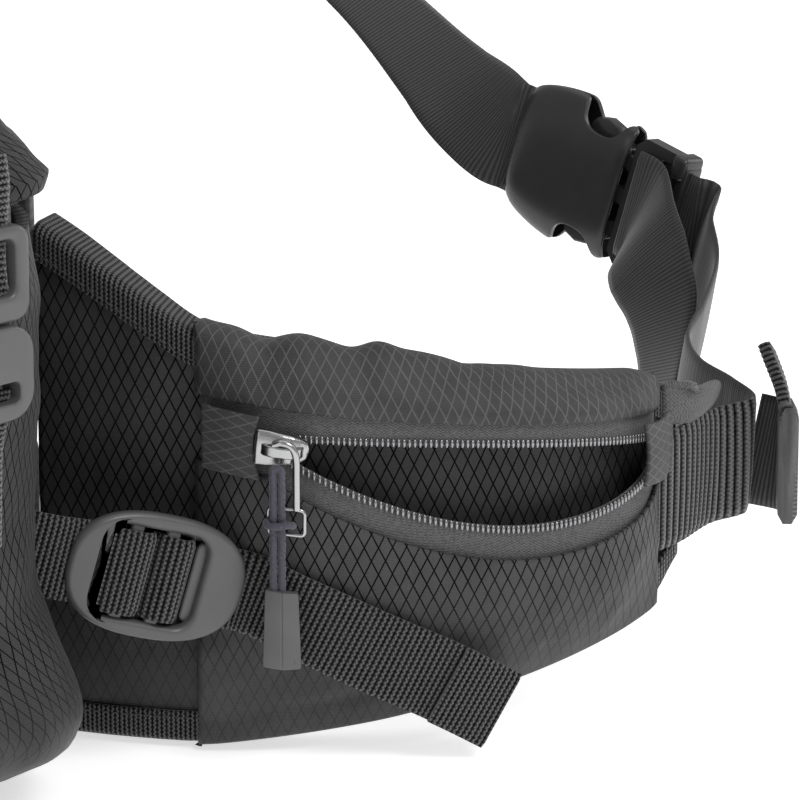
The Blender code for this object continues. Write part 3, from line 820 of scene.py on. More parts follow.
def even_outline(grow, rear_line, puff):
    """The body's plan outline, smoothed and evenly spaced, and the length up to each point."""
    pts = [Vector((x, y, 0)) for x, y in body_outline(grow, rear_line, puff)]
    dense = catmull(pts[-2:] + pts + pts[:3], 10)[20:-20]
    arr = np.array([tuple(p) for p in dense])
    run = np.r_[0, np.cumsum(np.linalg.norm(np.diff(arr, axis=0), axis=1))]
    want = np.linspace(0, run[-1], OUTLINE_POINTS, endpoint=False)
    return np.stack([np.interp(want, run, arr[:, 0]), np.interp(want, run, arr[:, 1])], 1), want


def middle_line(plan, half, y):
    """For each point of an outline, where it comes to when the outline shrinks to a line."""
    return np.stack([np.clip(plan[:, 0], -half, half), np.full(len(plan), y)], 1)


def flat_rings(plan, middle, shares, height, ripple=0.0):
    """Level rings at shares of the way from the middle line out to the outline."""
    rings, uvs = [], []
    for share in shares:
        flat = middle + (plan - middle) * share
        rings.append([Vector((x, y, height + ripple * wave(x, y, 0, 22, 9.0))) for x, y in flat])
        uvs.append([(x, y) for x, y in flat])
    return rings, uvs


def level_ring(plan_and_length, z):
    plan, along = plan_and_length
    return [Vector((x, y, z)) for x, y in plan], [(s, z) for s in along]


def body_plan(z, inset):
    near = (-4, -2, 0, 2, 4)
    grow = sum(profile(BODY_LEVELS, z + d, 1) for d in near) / len(near)
    puff = sum(profile(BODY_LEVELS, z + d, 2) for d in near) / len(near)
    return even_outline(grow - inset, BODY_REAR - inset, puff)


def body_folds(plan, z):
    """A ring of the body's cloth, with its soft folds and creases."""
    ring = []
    fade = min(1.0, z / 12) * min(1.0, (BODY_TOP - z) / 14)
    for k, (x, y) in enumerate(plan):
        before, after = plan[k - 1], plan[(k + 1) % len(plan)]
        normal = Vector((after[1] - before[1], before[0] - after[0], 0)).normalized()
        if normal.dot(Vector((x, y - BODY_MIDDLE, 0))) < 0:
            normal.negate()
        rear = 0.2 if y > BODY_REAR - 12 else 1.0
        fold = 1.3 * wave(x, y, z * 0.45, 34, 3.1) + 0.8 * wave(x * 1.6, y * 1.6, z, 15, 7.7)
        crease = 0.9 * wave(x, y, z * 2.6, 26, 11.0)
        d = (fold + crease) * fade * rear
        ring.append(Vector((x + normal.x * d, y + normal.y * d, z)))
    return ring


def build_body():
    """The bag, as one skin: its underside, outside, lining and inner floor."""
    wall, floor_level, spine = 3.0, 4.5, 70
    heights = list(np.r_[np.linspace(0.4, 12, 12), np.linspace(14, 128, 58), np.linspace(130, BODY_TOP, 8)])
    base, _ = body_plan(heights[0], 0)
    middle = middle_line(base, spine, BODY_MIDDLE)
    rings, uvs = flat_rings(base, middle, (0.0, 0.3, 0.6, 0.85), 0.35)
    for z in heights:
        plan, along = body_plan(z, 0)
        rings.append(body_folds(plan, z))
        uvs.append([(s, z) for s in along])
    outer_faces = len(rings) * OUTLINE_POINTS
    for z in np.linspace(BODY_TOP, 8, 26):
        ring, uv = level_ring(body_plan(z, wall), z)
        rings.append(ring)
        uvs.append(uv)
    floor_plan, _ = body_plan(8, wall)
    more_rings, more_uvs = flat_rings(floor_plan, middle, (0.8, 0.4, 0.0), floor_level)
    obj = tube("body_cloth", rings + more_rings, CLOTH, uvs + more_uvs, caps=False)
    second_material(obj, LINING, lambda k: k >= outer_faces)
    weld(obj)
    dress(obj, "pack", "ripstop", "main_body")


def lid_plan(z, inset):
    grow, lean, puff = (profile(LID_LEVELS, z, column) for column in (1, 2, 3))
    return even_outline(grow - inset, LID_HINGE_Y - 0.6 - lean - inset, puff)


def lid_folds(plan, z):
    """A ring of the lid's cloth. Its rear edge, at the hinge, stays straight."""
    ring = []
    fade = min(1.0, (z - LID_BOTTOM) / 5)
    for x, y in plan:
        d = (2.2 * wave(x, y, z, 24, 5.0) + 1.1 * wave(x, y, z * 1.6, 11, 2.0)) * fade
        away = Vector((x, (y + 188) * 1.4, 0)).normalized()
        tuck = 0.0 if y > LID_HINGE_Y - 3 else 1.0
        ring.append(Vector((x + away.x * d * tuck, y + away.y * d * tuck, z + d * 0.4 * fade)))
    return ring


def build_lid():
    wall, roof = 5.0, 4.5
    rings, uvs = [], []
    for z in np.r_[np.linspace(LID_BOTTOM, 156, 8), np.linspace(157, LID_TOP, 22)]:
        plan, along = lid_plan(z, 0)
        rings.append(lid_folds(plan, z))
        uvs.append([(s, z * 1.2) for s in along])
    top, _ = lid_plan(LID_TOP, 0)
    middle = middle_line(top, 60, LID_MIDDLE)
    crown_rings, crown_uvs = flat_rings(top, middle, (0.8, 0.6, 0.4, 0.2, 0.0), LID_TOP, 0.5)
    outer_faces = (len(rings) + len(crown_rings)) * OUTLINE_POINTS
    under_rings, under_uvs = flat_rings(top, middle, (0.0, 0.4, 0.8), LID_TOP - roof)
    rings += crown_rings + under_rings
    uvs += crown_uvs + under_uvs
    for z in (176, 171, 165, 159, 154, 150):
        ring, uv = level_ring(lid_plan(z + 3, wall), z)
        rings.append(ring)
        uvs.append(uv)
    obj = tube("lid_cloth", rings, CLOTH, uvs, closed=True)
    lining_end = (len(rings) - 1) * OUTLINE_POINTS
    second_material(obj, LINING, lambda k: outer_faces <= k < lining_end)
    weld(obj)
    dress(obj, "lid", "ripstop", "lid_shell")


def build_lid_zip():
    """Both halves of the lid's zip, whose teeth meet between the body and the lid."""
    plan, along = even_outline(-5.0, LID_HINGE_Y - 0.8, 0)
    keep = [k for k in range(OUTLINE_POINTS) if plan[k][1] < LID_HINGE_Y - 4]
    for name, body, z0, z1, tooth_z in (("lid_zip_lower", "pack", 140.3, 145.0, 144.2),
                                        ("lid_zip_upper", "lid", 145.1, 149.8, 145.9)):
        heights = spread(z0, z1, 4)
        rows = [[Vector((*plan[k], z)) for z in heights] for k in keep]
        uvs = [[(along[k], z) for z in heights] for k in keep]
        dress(cloth(name + "_tape", rows, TAPE, uvs, 1.1), body, "tape", name)
        teeth = []
        for k in keep:
            x, y = plan[k]
            out = Vector((x, y - BODY_MIDDLE, 0)).normalized()
            teeth.append((Vector((x, y, tooth_z)) + out * 0.4, Vector((0, 0, 1)), out))
        dress(grains(name + "_teeth", teeth, COIL, (2.2, 1.0, 1.3)), body, "tape")
    for name in ("lid_slider", "lid_puller"):
        finish_node(name, NICKEL)


# ---------------------------------------------------------------- back, yoke and loop
def panel(name, node, angles, heights, offset, front_at, back_at):
    """Padded panel between two surfaces, each given by a function of angle and height."""
    front = [front_at(a, z) for a in angles for z in heights]
    back = [back_at(a, z) for a in angles for z in heights]
    uvs = [(s, z) for s in arc_lengths(angles, offset) for z in heights]
    obj = make_mesh(name, front + back, slab_faces(len(angles), len(heights)), MESH_PAD, uvs * 2)
    dress(obj, "pack", "padding", node)


def build_back():
    half, low, high = 26.3, 2.2, 147.8

    def softness(a, z):
        """How far the panel's edge is rounded away."""
        edge = max(0.0, min(abs(z - low), abs(high - z), (half - abs(a)) * 2.4) / 5)
        return 2.2 * (1 - min(1.0, edge) ** 0.5)

    def front_at(a, z):
        p = belt(a, WING_FACE, 0)
        return Vector((p.x, p.y - softness(a, z) * 0.8, z))

    def back_at(a, z):
        return Vector((belt(a, WING_FACE, 0).x * 1.04, BODY_REAR + 0.3 + softness(a, z) * 0.3, z))

    panel("back_panel_foam", "back_panel", spread(-half, half, 90), spread(low, high, 60), 12, front_at,
          back_at)


def build_lumbar_pad(tag, start, end):
    """Domed pad with three sewn lines across it."""
    low, high = 5.0, 145.0
    puff, sewn_in, sewn_half = 11.3, 0.42, 2.6

    def front_at(a, z):
        across = abs(2 * (a - start) / (end - start) - 1)
        up = abs(2 * (z - low) / (high - low) - 1)
        dome = (max(0.0, 1 - across ** 6) * max(0.0, 1 - up ** 14)) ** 0.5
        quilt = max(math.exp(-((z - line) / sewn_half) ** 2) for line in (40, 75, 110))
        height = puff * dome * (1 - sewn_in * quilt) + 0.25 * wave(a * 4, z, 0, 9)
        return belt(a, 11.9 - max(0.4, height), z)

    def back_at(a, z):
        return belt(a, 12.0, z)

    panel("lumbar_pad_cloth_" + tag, "lumbar_pad_" + tag, spread(start, end, 70),
          spread(low, high, 120), 3, front_at, back_at)


def build_yoke():
    """The roll of cloth along the body's rear top edge, and the grab loop above it."""
    rings, uvs = [], []
    for x in spread(-92, 92, 120):
        sag = 0.5 * wave(x, 0, 0, 14)
        rings.append([Vector((x, -135.3 + 3.9 * boxy(c, 0.5), 145.0 + (4.5 + sag * 0.4) * boxy(s, 0.5)))
                      for c, s in circle(28)])
        uvs.append([(x, k * 0.9) for k in range(28)])
    dress(tube("yoke_cloth", rings, CLOTH, uvs), "pack", "ripstop", "rear_yoke")
    path = ((-46, -126, 149.0), (-38, -125, 149.4), (-22, -120.5, 154), (0, -119, 155.4), (22, -120.5, 154),
            (38, -125, 149.4), (46, -126, 149.0))
    loop = web("grab_loop_webbing", path, 7.0, 1.2, STRAP, across=(0, 1, 0), rib=1.3, height=0.2)
    dress(loop, "pack", "webbing", "grab_loop")


# ---------------------------------------------------------------- hip wings
def surface(rows_at, angles, arcs, flip=False):
    """Grid of points on a wing: rows_at(angle) gives one row as (offset, height) pairs."""
    rows, uvs = [], []
    for a, s in zip(angles, arcs):
        points = rows_at(a)
        row = [belt(a, n, z) for n, z in points]
        rows.append(row)
        uvs.append([(s, points[0][1] + run) for run in running_length(row)])
    if flip:
        rows = [row[::-1] for row in rows]
        uvs = [row[::-1] for row in uvs]
    return rows, uvs


def reweigh(obj, weight):
    """Replace a blended piece's weights with weight(point in millimetres)."""
    layer = obj.data.attributes["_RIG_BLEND"]
    layer.data.foreach_set("value", [clamp(weight(v.co / MM)) for v in obj.data.vertices])


def blend_to_lip(obj, side, weight):
    """Tie a piece to the pack and, by its weight, to the pocket's rising lip."""
    low, high = metres((side * 150, -40, 60)), metres((side * 150, -40, 80))
    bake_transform(obj, "pack", "zip_lip_" + HANDS[side], low, high)
    reweigh(obj, weight)


WING_ANGLES = spread(WING_START, WING_END, 130)
WING_ARCS = arc_lengths(WING_ANGLES, 10)


def build_wing_pad(side):
    """The wing's foam in its mesh cover, as rounded sections along the belt."""
    tag = HANDS[side]
    mid_offset, half_thick = 5.4, 5.1
    rings, uvs = [], []
    for a, s in zip(WING_ANGLES, WING_ARCS):
        low, high = wing_bottom(a) + 1.0, wing_top(a) - 1.0
        end = min(1.0, (a - WING_START) / 2, (WING_END - a) / 2 + 0.15)
        ring, uv = [], []
        for c, sn in circle(56):
            n = mid_offset + half_thick * boxy(c, 0.45) * (0.6 + 0.4 * end)
            z = (low + high) / 2 + (high - low) / 2 * boxy(sn, 0.3)
            if c < 0:
                n += 0.3 * wave(s, z, 0, 16, 4.0) * abs(c)
            ring.append(belt(a, n, z))
            uv.append((s, z * math.copysign(1, c) + n))
        rings.append(mirrored(ring, side))
        uvs.append(uv)
    pad = tube("wing_pad_" + tag, rings, MESH_PAD, uvs)
    dress(pad, "pack", "padding", "wing_core_" + tag)


def build_wing_face(side):
    """The cloth on the wing's outer face, with faint folds that stay under the pocket."""
    def face_rows(a):
        out = []
        for z in spread(wing_bottom(a) + 1.0, wing_top(a) - 1.0, 60):
            fold = 0.35 * wave(a * 2.2, z, 0, 12, 2.0) + 0.25 * wave(a * 5, z * 0.4, 0, 9, 8.0)
            out.append((11.9 + min(0.4, fold), z))
        return out

    rows, uvs = surface(face_rows, WING_ANGLES, WING_ARCS)
    face = cloth("wing_face_cloth_" + HANDS[side], rows, CLOTH, uvs, 0.9, side)
    dress(face, "pack", "ripstop", "wing_face_" + HANDS[side])


def binding_profile():
    """Section of the binding tape as it folds over the wing's edge, from outside to inside."""
    out = [(13.0, -8.0)] + [(13.1, z) for z in spread(-7.4, -2.2, 8)]
    for k in range(1, 9):
        b = math.radians(90 * k / 8)
        out.append((9.1 + 4.0 * math.cos(b), -2.0 + 2.5 * math.sin(b)))
    out += [(n, 0.5) for n in (7, 5, 3)]
    for k in range(9):
        b = math.radians(90 + 90 * k / 8)
        out.append((1.7 + 3.0 * math.cos(b), -2.0 + 2.5 * math.sin(b)))
    return out + [(-1.3, z) for z in spread(-2.6, -8.0, 8)]


def build_binding(side, part, level, direction):
    name = "wing_binding_%s_%%s%s" % (part, HANDS[side])
    section = binding_profile()

    def edge_rows(a):
        z0 = level(a)
        return [(n + 0.12 * wave(a * 3, z, n, 5), z0 + direction * z) for n, z in section]

    rows, uvs = surface(edge_rows, WING_ANGLES, WING_ARCS, flip=direction < 0)
    dress(cloth(name % "cloth_", rows, BINDING, uvs, 1.0, side), "pack", "tape", name % "")
    run = [belt(a, 13.2, level(a) - direction * 6.4) for a in WING_ANGLES]
    normals = [belt_normal(a) for a in WING_ANGLES]
    dress(stitches(name % "thread_", run, normals, THREAD, side), "pack", "tape")


# ---------------------------------------------------------------- pockets
SEAM = 0.55  # degrees over which the pocket's ends turn in to the wing
POCKET_ANGLES = [42.95, 43.2] + spread(POCKET_START, POCKET_END, 170) + [95.3, 95.55]
POCKET_ARCS = arc_lengths(POCKET_ANGLES, 20)


def ends(a, n):
    """An offset, drawn in to the wing's face beyond the pocket's ends."""
    beyond = max(POCKET_START - a, a - POCKET_END)
    if beyond <= 0:
        return n
    return WING_FACE + (n - WING_FACE) * max(0.0, (SEAM - beyond) / SEAM) ** 0.5


def lower_span(a, side):
    return wing_bottom(a) + 0.6, lip(a, side) - HEM


def build_pocket_lower(side):
    """The pocket's front, from its tucked hem up to the zip. It lifts as the zip closes."""
    tag = HANDS[side]
    tuck = ((5, -1.5), (8, -1.7), (10.5, -1.6), (12.5, -1.2), (13.8, -0.7))

    def lower_rows(a):
        low, high = lower_span(a, side)
        out = [(ends(a, n), max(0.25, low + dz)) for n, dz in tuck]
        for t in spread(0.0, 1.0, 46):
            n = POCKET_LINE + BULGE * math.sin(math.pi / 2 * min(1.0, 1.25 * t)) * swell(a)
            z = low + (high - low) * t
            sway = 1.0 * wave(a * 1.8, z * 0.55, 0, 17, 1.0) + 0.45 * wave(a * 4, z * 2, 0, 11, 6.0)
            slack = 1.1 * math.exp(-((z - low - 5.5 - (a - 44) * 0.12) / 2.0) ** 2) * clamp((72 - a) / 12)
            fade = min(1.0, 6 * t) * min(1.0, 5 * (1 - t) + 0.15)
            out.append((ends(a, n + sway * fade - slack * fade), z))
        return out

    rows, uvs = surface(lower_rows, POCKET_ANGLES, POCKET_ARCS)
    lower = cloth("pocket_lower_cloth_" + tag, rows, CLOTH_POCKET, uvs, 1.0, side)
    dress(lower, None, "ripstop", "pocket_lower_" + tag)

    def panel_weight(p):
        a = angle_of(p)
        low, high = lower_span(a, side)
        return mouth(a) * clamp((p[2] - low) / max(1.0, high - low)) ** 1.4

    blend_to_lip(lower, side, panel_weight)


def ripple(a):
    """Height of the pocket's wavy top edge at an angle: bumps of (angle, height)."""
    waves = ((45.8, 0.3), (49.5, -1.2), (53.5, 0.6), (58.5, -0.8), (61.5, 0.9), (66, 0.2), (71, -0.6),
             (77, 0.3))
    return sum(size * math.exp(-((a - centre) / 1.9) ** 2) for centre, size in waves)


def build_pocket_upper(side):
    """The cloth above the zip, which turns over the wing's top edge."""
    over = ((13.9, 1.3), (12.4, 2.2), (10.0, 2.7), (7.0, 2.7), (4.5, 2.2), (3.2, 1.2))

    def upper_rows(a):
        low, high = pocket_height(a) + HEM, wing_top(a) + 0.3
        out = []
        for t in spread(0.0, 1.0, 30):
            rise = math.sin(math.pi / 2 * min(1.0, 1.25 * (1 - t)))
            n = POCKET_LINE + UPPER_BULGE * rise * swell(a)
            z = low + (high - low) * t
            sway = 0.8 * wave(a * 2.2, z * 0.7, 0, 13, 9.0) + 0.4 * wave(a * 5, z, 0, 9, 3.0)
            fade = min(1.0, 5 * t + 0.15)
            out.append((ends(a, n + sway * fade + ripple(a) * 0.5 * t), z + ripple(a) * t * 0.8))
        for n, dz in over:
            out.append((ends(a, n), high + dz * (1.0 + 0.25 * ripple(a)) + ripple(a) * 0.8))
        return out

    rows, uvs = surface(upper_rows, POCKET_ANGLES, POCKET_ARCS)
    upper = cloth("pocket_upper_cloth_" + HANDS[side], rows, CLOTH_UPPER, uvs, 1.0, side)
    dress(upper, "pack", "ripstop", "pocket_upper_" + HANDS[side])


def build_zip_half(side, part, full, direction, edge):
    """One half of the pocket's zip: its tape from the edge that edge(angle) gives, and its teeth."""
    pitch, wide = 1.3, 9.6
    angles = spread(POCKET_START + 0.6, POCKET_END - 0.6, 150)
    arcs = arc_lengths(angles, 20)

    def tape_rows(a):
        n = tape_out(a, full) - 0.2 + 0.5 * wave(a * 5, 0, 0, 6, 2.0) * 0.3
        return [(n, edge(a) + direction * z) for z in spread(0, wide, 12)]

    rows, uvs = surface(tape_rows, angles, arcs, flip=direction < 0)
    tape = cloth("zip_tape_%s_%s" % (part, HANDS[side]), rows, TAPE, uvs, 0.8, side)
    spots = []
    for k in range(int(arcs[-1] / pitch)):
        a = float(np.interp((k + (0.5 if direction < 0 else 0.0)) * pitch, arcs, angles))
        centre = belt(a, tape_out(a, full) + 0.35, edge(a) + direction * 0.7)
        spots.append((centre, Vector((0, 0, 1)), belt_normal(a)))
    teeth = grains("zip_teeth_%s_%s" % (part, HANDS[side]), spots, COIL, (2.3, 0.85, 1.25), side)
    body = "pack" if direction > 0 else None
    dress(tape, body, "tape", "zip_half_%s_%s" % (part, HANDS[side]))
    dress(teeth, body, "tape")
    return tape, teeth


def build_pocket_zip(side):
    raised = 2.4 if side > 0 else 0.0
    lower_full = BULGE - 0.4 if side > 0 else UPPER_BULGE
    build_zip_half(side, "upper", UPPER_BULGE, 1, lambda a: pocket_height(a) + 0.3 + raised * mouth(a))
    for obj in build_zip_half(side, "lower", lower_full, -1, lambda a: lip(a, side) - 0.3):
        blend_to_lip(obj, side, lambda p: mouth(angle_of(p)))


def build_garages(side):
    """The flaps of cloth over both ends of the zip. Their inner edges are curved."""
    low, high = -8.5, 7.0
    for part, a0, a1 in (("front", 44.0, 49.4), ("rear", 88.8, 95.6)):
        rows, uvs = [], []
        for f in spread(0.0, 1.0, 26):
            row, uv = [], []
            for z in spread(low, high, 34):
                t = (z - low) / (high - low)
                curve = 0.5 * math.sin(math.pi * t)
                first = a0 + (curve if part == "rear" else 0.0)
                last = a1 - (curve if part == "front" else 0.0)
                a = first + (last - first) * f
                dome = 0.6 * math.sin(math.pi * clamp(t)) * math.sin(math.pi * (0.15 + 0.7 * f))
                row.append(belt(a, tape_out(a, BULGE) + 4.1 + dome, pocket_height(a) + z))
                uv.append((z, (last - first) * 2.6 * f))
            rows.append(row)
            uvs.append(uv)
        flap = cloth("garage_%s_cloth_%s" % (part, HANDS[side]), rows, CLOTH_FLAP, uvs, 0.9, side)
        dress(flap, "pack", "ripstop", "garage_%s_%s" % (part, HANDS[side]))


# ---------------------------------------------------------------- zip pulls
def pull_axes(side):
    """Where the pocket's slider is at rest, and which way it points."""
    start = SLIDER_FRONT if side > 0 else SLIDER_REAR
    out = tape_out(start, UPPER_BULGE) + 4.4
    centre = belt(start, out, pocket_height(start))
    return basis(centre, belt(start + 1, out, pocket_height(start + 1)) - centre, (0, 0, 1))


def build_slider(side, axes):
    """The pocket zip's slider, lofted through boxy sections, and the bridge that holds its puller."""
    tag = HANDS[side]
    # place along the slider, half width, bottom and top of each section
    sections = ((-6.4, 3.6, -1.0, 1.0), (-6.0, 4.4, -1.4, 1.7), (-3.0, 4.3, -1.5, 2.1), (0.0, 3.9, -1.5, 2.4),
                (2.6, 3.6, -1.5, 2.3), (4.6, 3.0, -1.4, 1.7), (6.0, 2.1, -1.2, 0.9), (6.5, 1.2, -0.8, 0.3))
    rings = []
    for x, half, low, high in sections:
        ring = []
        for c, s in circle(28):
            y = half * boxy(c, 0.45)
            ridge = 0.35 * math.exp(-(y / 0.7) ** 2) * (1 if s > 0 else 0)
            ring.append(place(axes, (x, y, (low + high) / 2 + (high - low) / 2 * boxy(s, 0.55) + ridge)))
        rings.append(ring)
    dense = []
    for first, second in zip(rings, rings[1:]):
        dense += [[p.lerp(q, j / 5) for p, q in zip(first, second)] for j in range(5)]
    dense = [mirrored(ring, side) for ring in dense + [rings[-1]]]
    dress(tube("zip_slider_body_" + tag, dense, NICKEL), "zip_runner_" + tag, "metal", "pocket_slider_" + tag)
    arch = ((-4.6, 1.4), (-3.8, 3.0), (-1.5, 4.1), (1.5, 4.3), (4.0, 3.4), (4.9, 1.4))
    bridge = [place(axes, (x, 0, z)) for x, z in arch]
    strip = web("zip_slider_bridge_" + tag, bridge, 2.6, 0.8, NICKEL, across=tuple(axes[2]), side=side,
                step=0.5)
    dress(strip, "zip_runner_" + tag, "metal")


def build_puller(side, at):
    """The wire puller. at(right, out, up) is a point measured from its hinge."""
    tag = HANDS[side]
    route = ((-1.8, 0.1, 0), (0.2, 0.7, 0.8), (2.4, 0.9, 0.2), (3.5, 0.8, -2.5), (3.6, 0.6, -8.0),
             (3.6, 0.6, -15.2))
    arm = wire("zip_pull_wire_" + tag, catmull([at(*p) for p in route], 10), 0.95, NICKEL, side)
    dress(arm, "zip_puller_" + tag, "metal", "pocket_puller_" + tag)
    stirrup = [at(x + 1.2, 0.6, z - 18.3) for x, z in rounded(4.3, 3.1, 1.0, 4)]
    loop = wire("zip_pull_stirrup_" + tag, stirrup, 0.5, NICKEL, side, closed=True)
    dress(loop, "zip_puller_" + tag, "metal")


def braided_tube(name, line, normal, radius):
    """Cord along a line, with the lumps of its braid."""
    sides, lay = 14, 1.5
    dense = catmull(line, 4)
    rings, uvs = [], []
    for k, (p, run) in enumerate(zip(dense, running_length(dense))):
        tangent = (dense[min(k + 1, len(dense) - 1)] - dense[max(k - 1, 0)]).normalized()
        b = tangent.cross(normal).normalized()
        n = b.cross(tangent)
        ring, uv = [], []
        for j in range(sides):
            t = 2 * math.pi * j / sides
            lump = 0.05 * math.cos(2 * math.pi * run / lay + 3 * t)
            ring.append(p + (b * math.cos(t) + n * math.sin(t)) * (radius - 0.03 + lump))
            uv.append((run, j * 2 * math.pi * radius / sides))
        rings.append(ring)
        uvs.append(uv)
    return tube(name, rings, CORD, uvs)


def build_tab(side, at):
    """The moulded tab on the cord's end, left blank but for its eyelet."""
    tag = HANDS[side]
    outline = ((-4.3, -1.4), (-4.3, 0.3), (-0.3, 1.5), (0.0, 1.25), (0.3, 1.55), (4.3, 0.7), (4.3, -1.4))
    out, up = 3.1, -44.5
    rings = []
    for z, wide, deep in ((9.6, 0.86, 0.85), (9.2, 0.92, 1.0), (4.0, 0.96, 1.0), (-6.5, 1.04, 1.0),
                          (-9.2, 1.05, 1.0), (-9.6, 1.0, 0.85)):
        slant = 0.54 if z < 0 else 0.0
        ring = [at(x * wide, out + n * deep, up + z + slant * max(0.0, x / 4.3)) for x, n in outline]
        rings.append(mirrored(ring, side))
    tab = tube("zip_tab_" + tag, rings, PLASTIC_TAB, smooth=False)
    round_edges(tab, 0.35, 3, 25)
    settle(tab, 35)
    dress(tab, "zip_cord_" + tag, "plastic", "pull_tab_" + tag)
    eyelet = [at(2.6 + 0.55 * c, out + 0.95, up - 7.4 + 0.55 * s) for c, s in circle(20)]
    dress(wire("zip_tab_eyelet_" + tag, eyelet, 0.16, PLASTIC_TAB, side, closed=True), "zip_cord_" + tag,
          "plastic")
    return tab


def build_pull(side):
    """Slider, puller, doubled cord and tab of one pocket."""
    tag = HANDS[side]
    axes = pull_axes(side)
    centre, right, _, normal = axes
    hinge = centre + normal * 3.2 + Vector((0, 0, 1.5))

    def at(x, out, up):
        return hinge + right * x + normal * out + Vector((0, 0, up))

    build_slider(side, axes)
    build_puller(side, at)
    top, bottom, gap = 12.6, -16.6, 1.0
    cord_out, knot_up = 2.4, -18.5
    strand = [(-gap + 0.05 * math.sin(z), z) for z in spread(bottom, top, 30)]
    for k in range(1, 10):
        b = math.pi - math.pi * k / 10
        strand.append((gap * math.cos(b), top + gap * math.sin(b)))
    strand += [(gap + 0.05 * math.sin(z), z) for z in spread(top, bottom, 30)]
    line = mirrored([at(x - 0.9, cord_out + 0.35 * math.sin(z / 5), knot_up + z) for x, z in strand], side)
    cord = braided_tube("zip_cord_strands_" + tag, line, mirrored([normal], side)[0], 0.93)
    dress(cord, None, "cord", "pull_cord_" + tag)
    hitch = [at(3.2 * c - 0.4, cord_out + 1.75 * s + 0.2, knot_up + 0.7 * s * c) for c, s in circle(36)]
    wrap = wire("zip_cord_hitch_" + tag, hitch, 0.85, CORD, side, closed=True, sides=4)
    dress(wrap, "zip_cord_" + tag, "cord")
    tab = build_tab(side, at)
    exit_at = mirrored([at(0, cord_out, knot_up)], side)[0]
    metres(exit_at)
    running_length(line)[-1] * MM
    [metres(p) for p in line]
    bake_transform(cord, "zip_puller_" + tag, "zip_cord_" + tag, metres(exit_at + Vector((0, 0, 1.5))),
             metres(exit_at - Vector((0, 0, 1.5))))


# ---------------------------------------------------------------- compression strap and side buckle
def build_compression(side):
    """The oval buckle with its bars and lip, the webbing threaded through it, and the strap's two runs."""
    tag = HANDS[side]
    rider = "adjuster_" + tag
    axes = basis(Vector((112.8, -113.6, 49.4)), (0.41, 0.91, -0.30), (0, 0, 1))
    opening = rounded(13.0, 11.3, 4.6, 8, (-1.5, 0))
    ring = plate("adjuster_ring_" + tag, oval(22.4, 15.2, 0.8, 72), [opening], -1.8, 2.1, PLASTIC, axes, side,
                 1.5, 6)
    dress(ring, rider, "plastic", "oval_buckle_" + tag)
    bars = (("bar_1", rounded(1.7, 11.8, 0.8, 3, (-7.4, 0)), -1.2, 0.9, 0.6, 3),
            ("bar_2", rounded(1.7, 11.8, 0.8, 3, (1.9, 0)), -1.2, 0.9, 0.6, 3),
            ("lip", rounded(1.7, 9.8, 1.6, 5, (10.6, 0)), -1.75, -0.3, 0.7, 4))
    for name, outline, z0, z1, bevel, segments in bars:
        bar = plate("adjuster_%s_%s" % (name, tag), outline, [], z0, z1, PLASTIC, axes, side, bevel, segments)
        dress(bar, rider, "plastic")
    lift = (-2.0, 0.5, 2.1, 2.3, 0.9, -1.6)
    for name, xs in (("outer", (-15.3, -14.2, -10.5, -6.0, -3.2, -2.4)),
                     ("inner", (-1.1, -0.3, 2.0, 4.6, 6.8, 7.6))):
        path = [place(axes, (x, 0, z)) for x, z in zip(xs, lift)]
        turn = ribbed("adjuster_webbing_%s_%s" % (name, tag), path, side, tuple(axes[2]), width=20.6)
        dress(turn, rider, "webbing")
    path = [place(axes, (x, 0, z)) for x, z in ((-42, -1.0), (-33, -0.6), (-25.4, 0.0), (-16, -1.6))]
    dress(ribbed("body_strap_webbing_" + tag, path, side), "pack", "webbing", "body_strap_" + tag)
    path = [place(axes, (x, 0, z)) for x, z in ((10, -1.7), (18, -1.4), (25.4, 0.9))]
    path += [belt(*p) for p in ((54, 24.3, 36), (60, 24.7, 28), (66, 24.7, 20), (71, 24.3, 12))]
    tail = dress(ribbed("compression_webbing_" + tag, path, side), None, "webbing", "compression_tail_" + tag)
    near, far = mirrored([place(axes, (16, 0, 0)), place(axes, (38, 0, 0))], side)
    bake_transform(tail, rider, "pack", metres(near), metres(far))
    end = [belt(*p) for p in ((66.4, 26.3, 19.4), (69, 26.2, 15.4), (71.6, 25.9, 11.2))]
    dress(ribbed("compression_fold_" + tag, end, side, width=20.2, thick=1.3), "pack", "webbing")


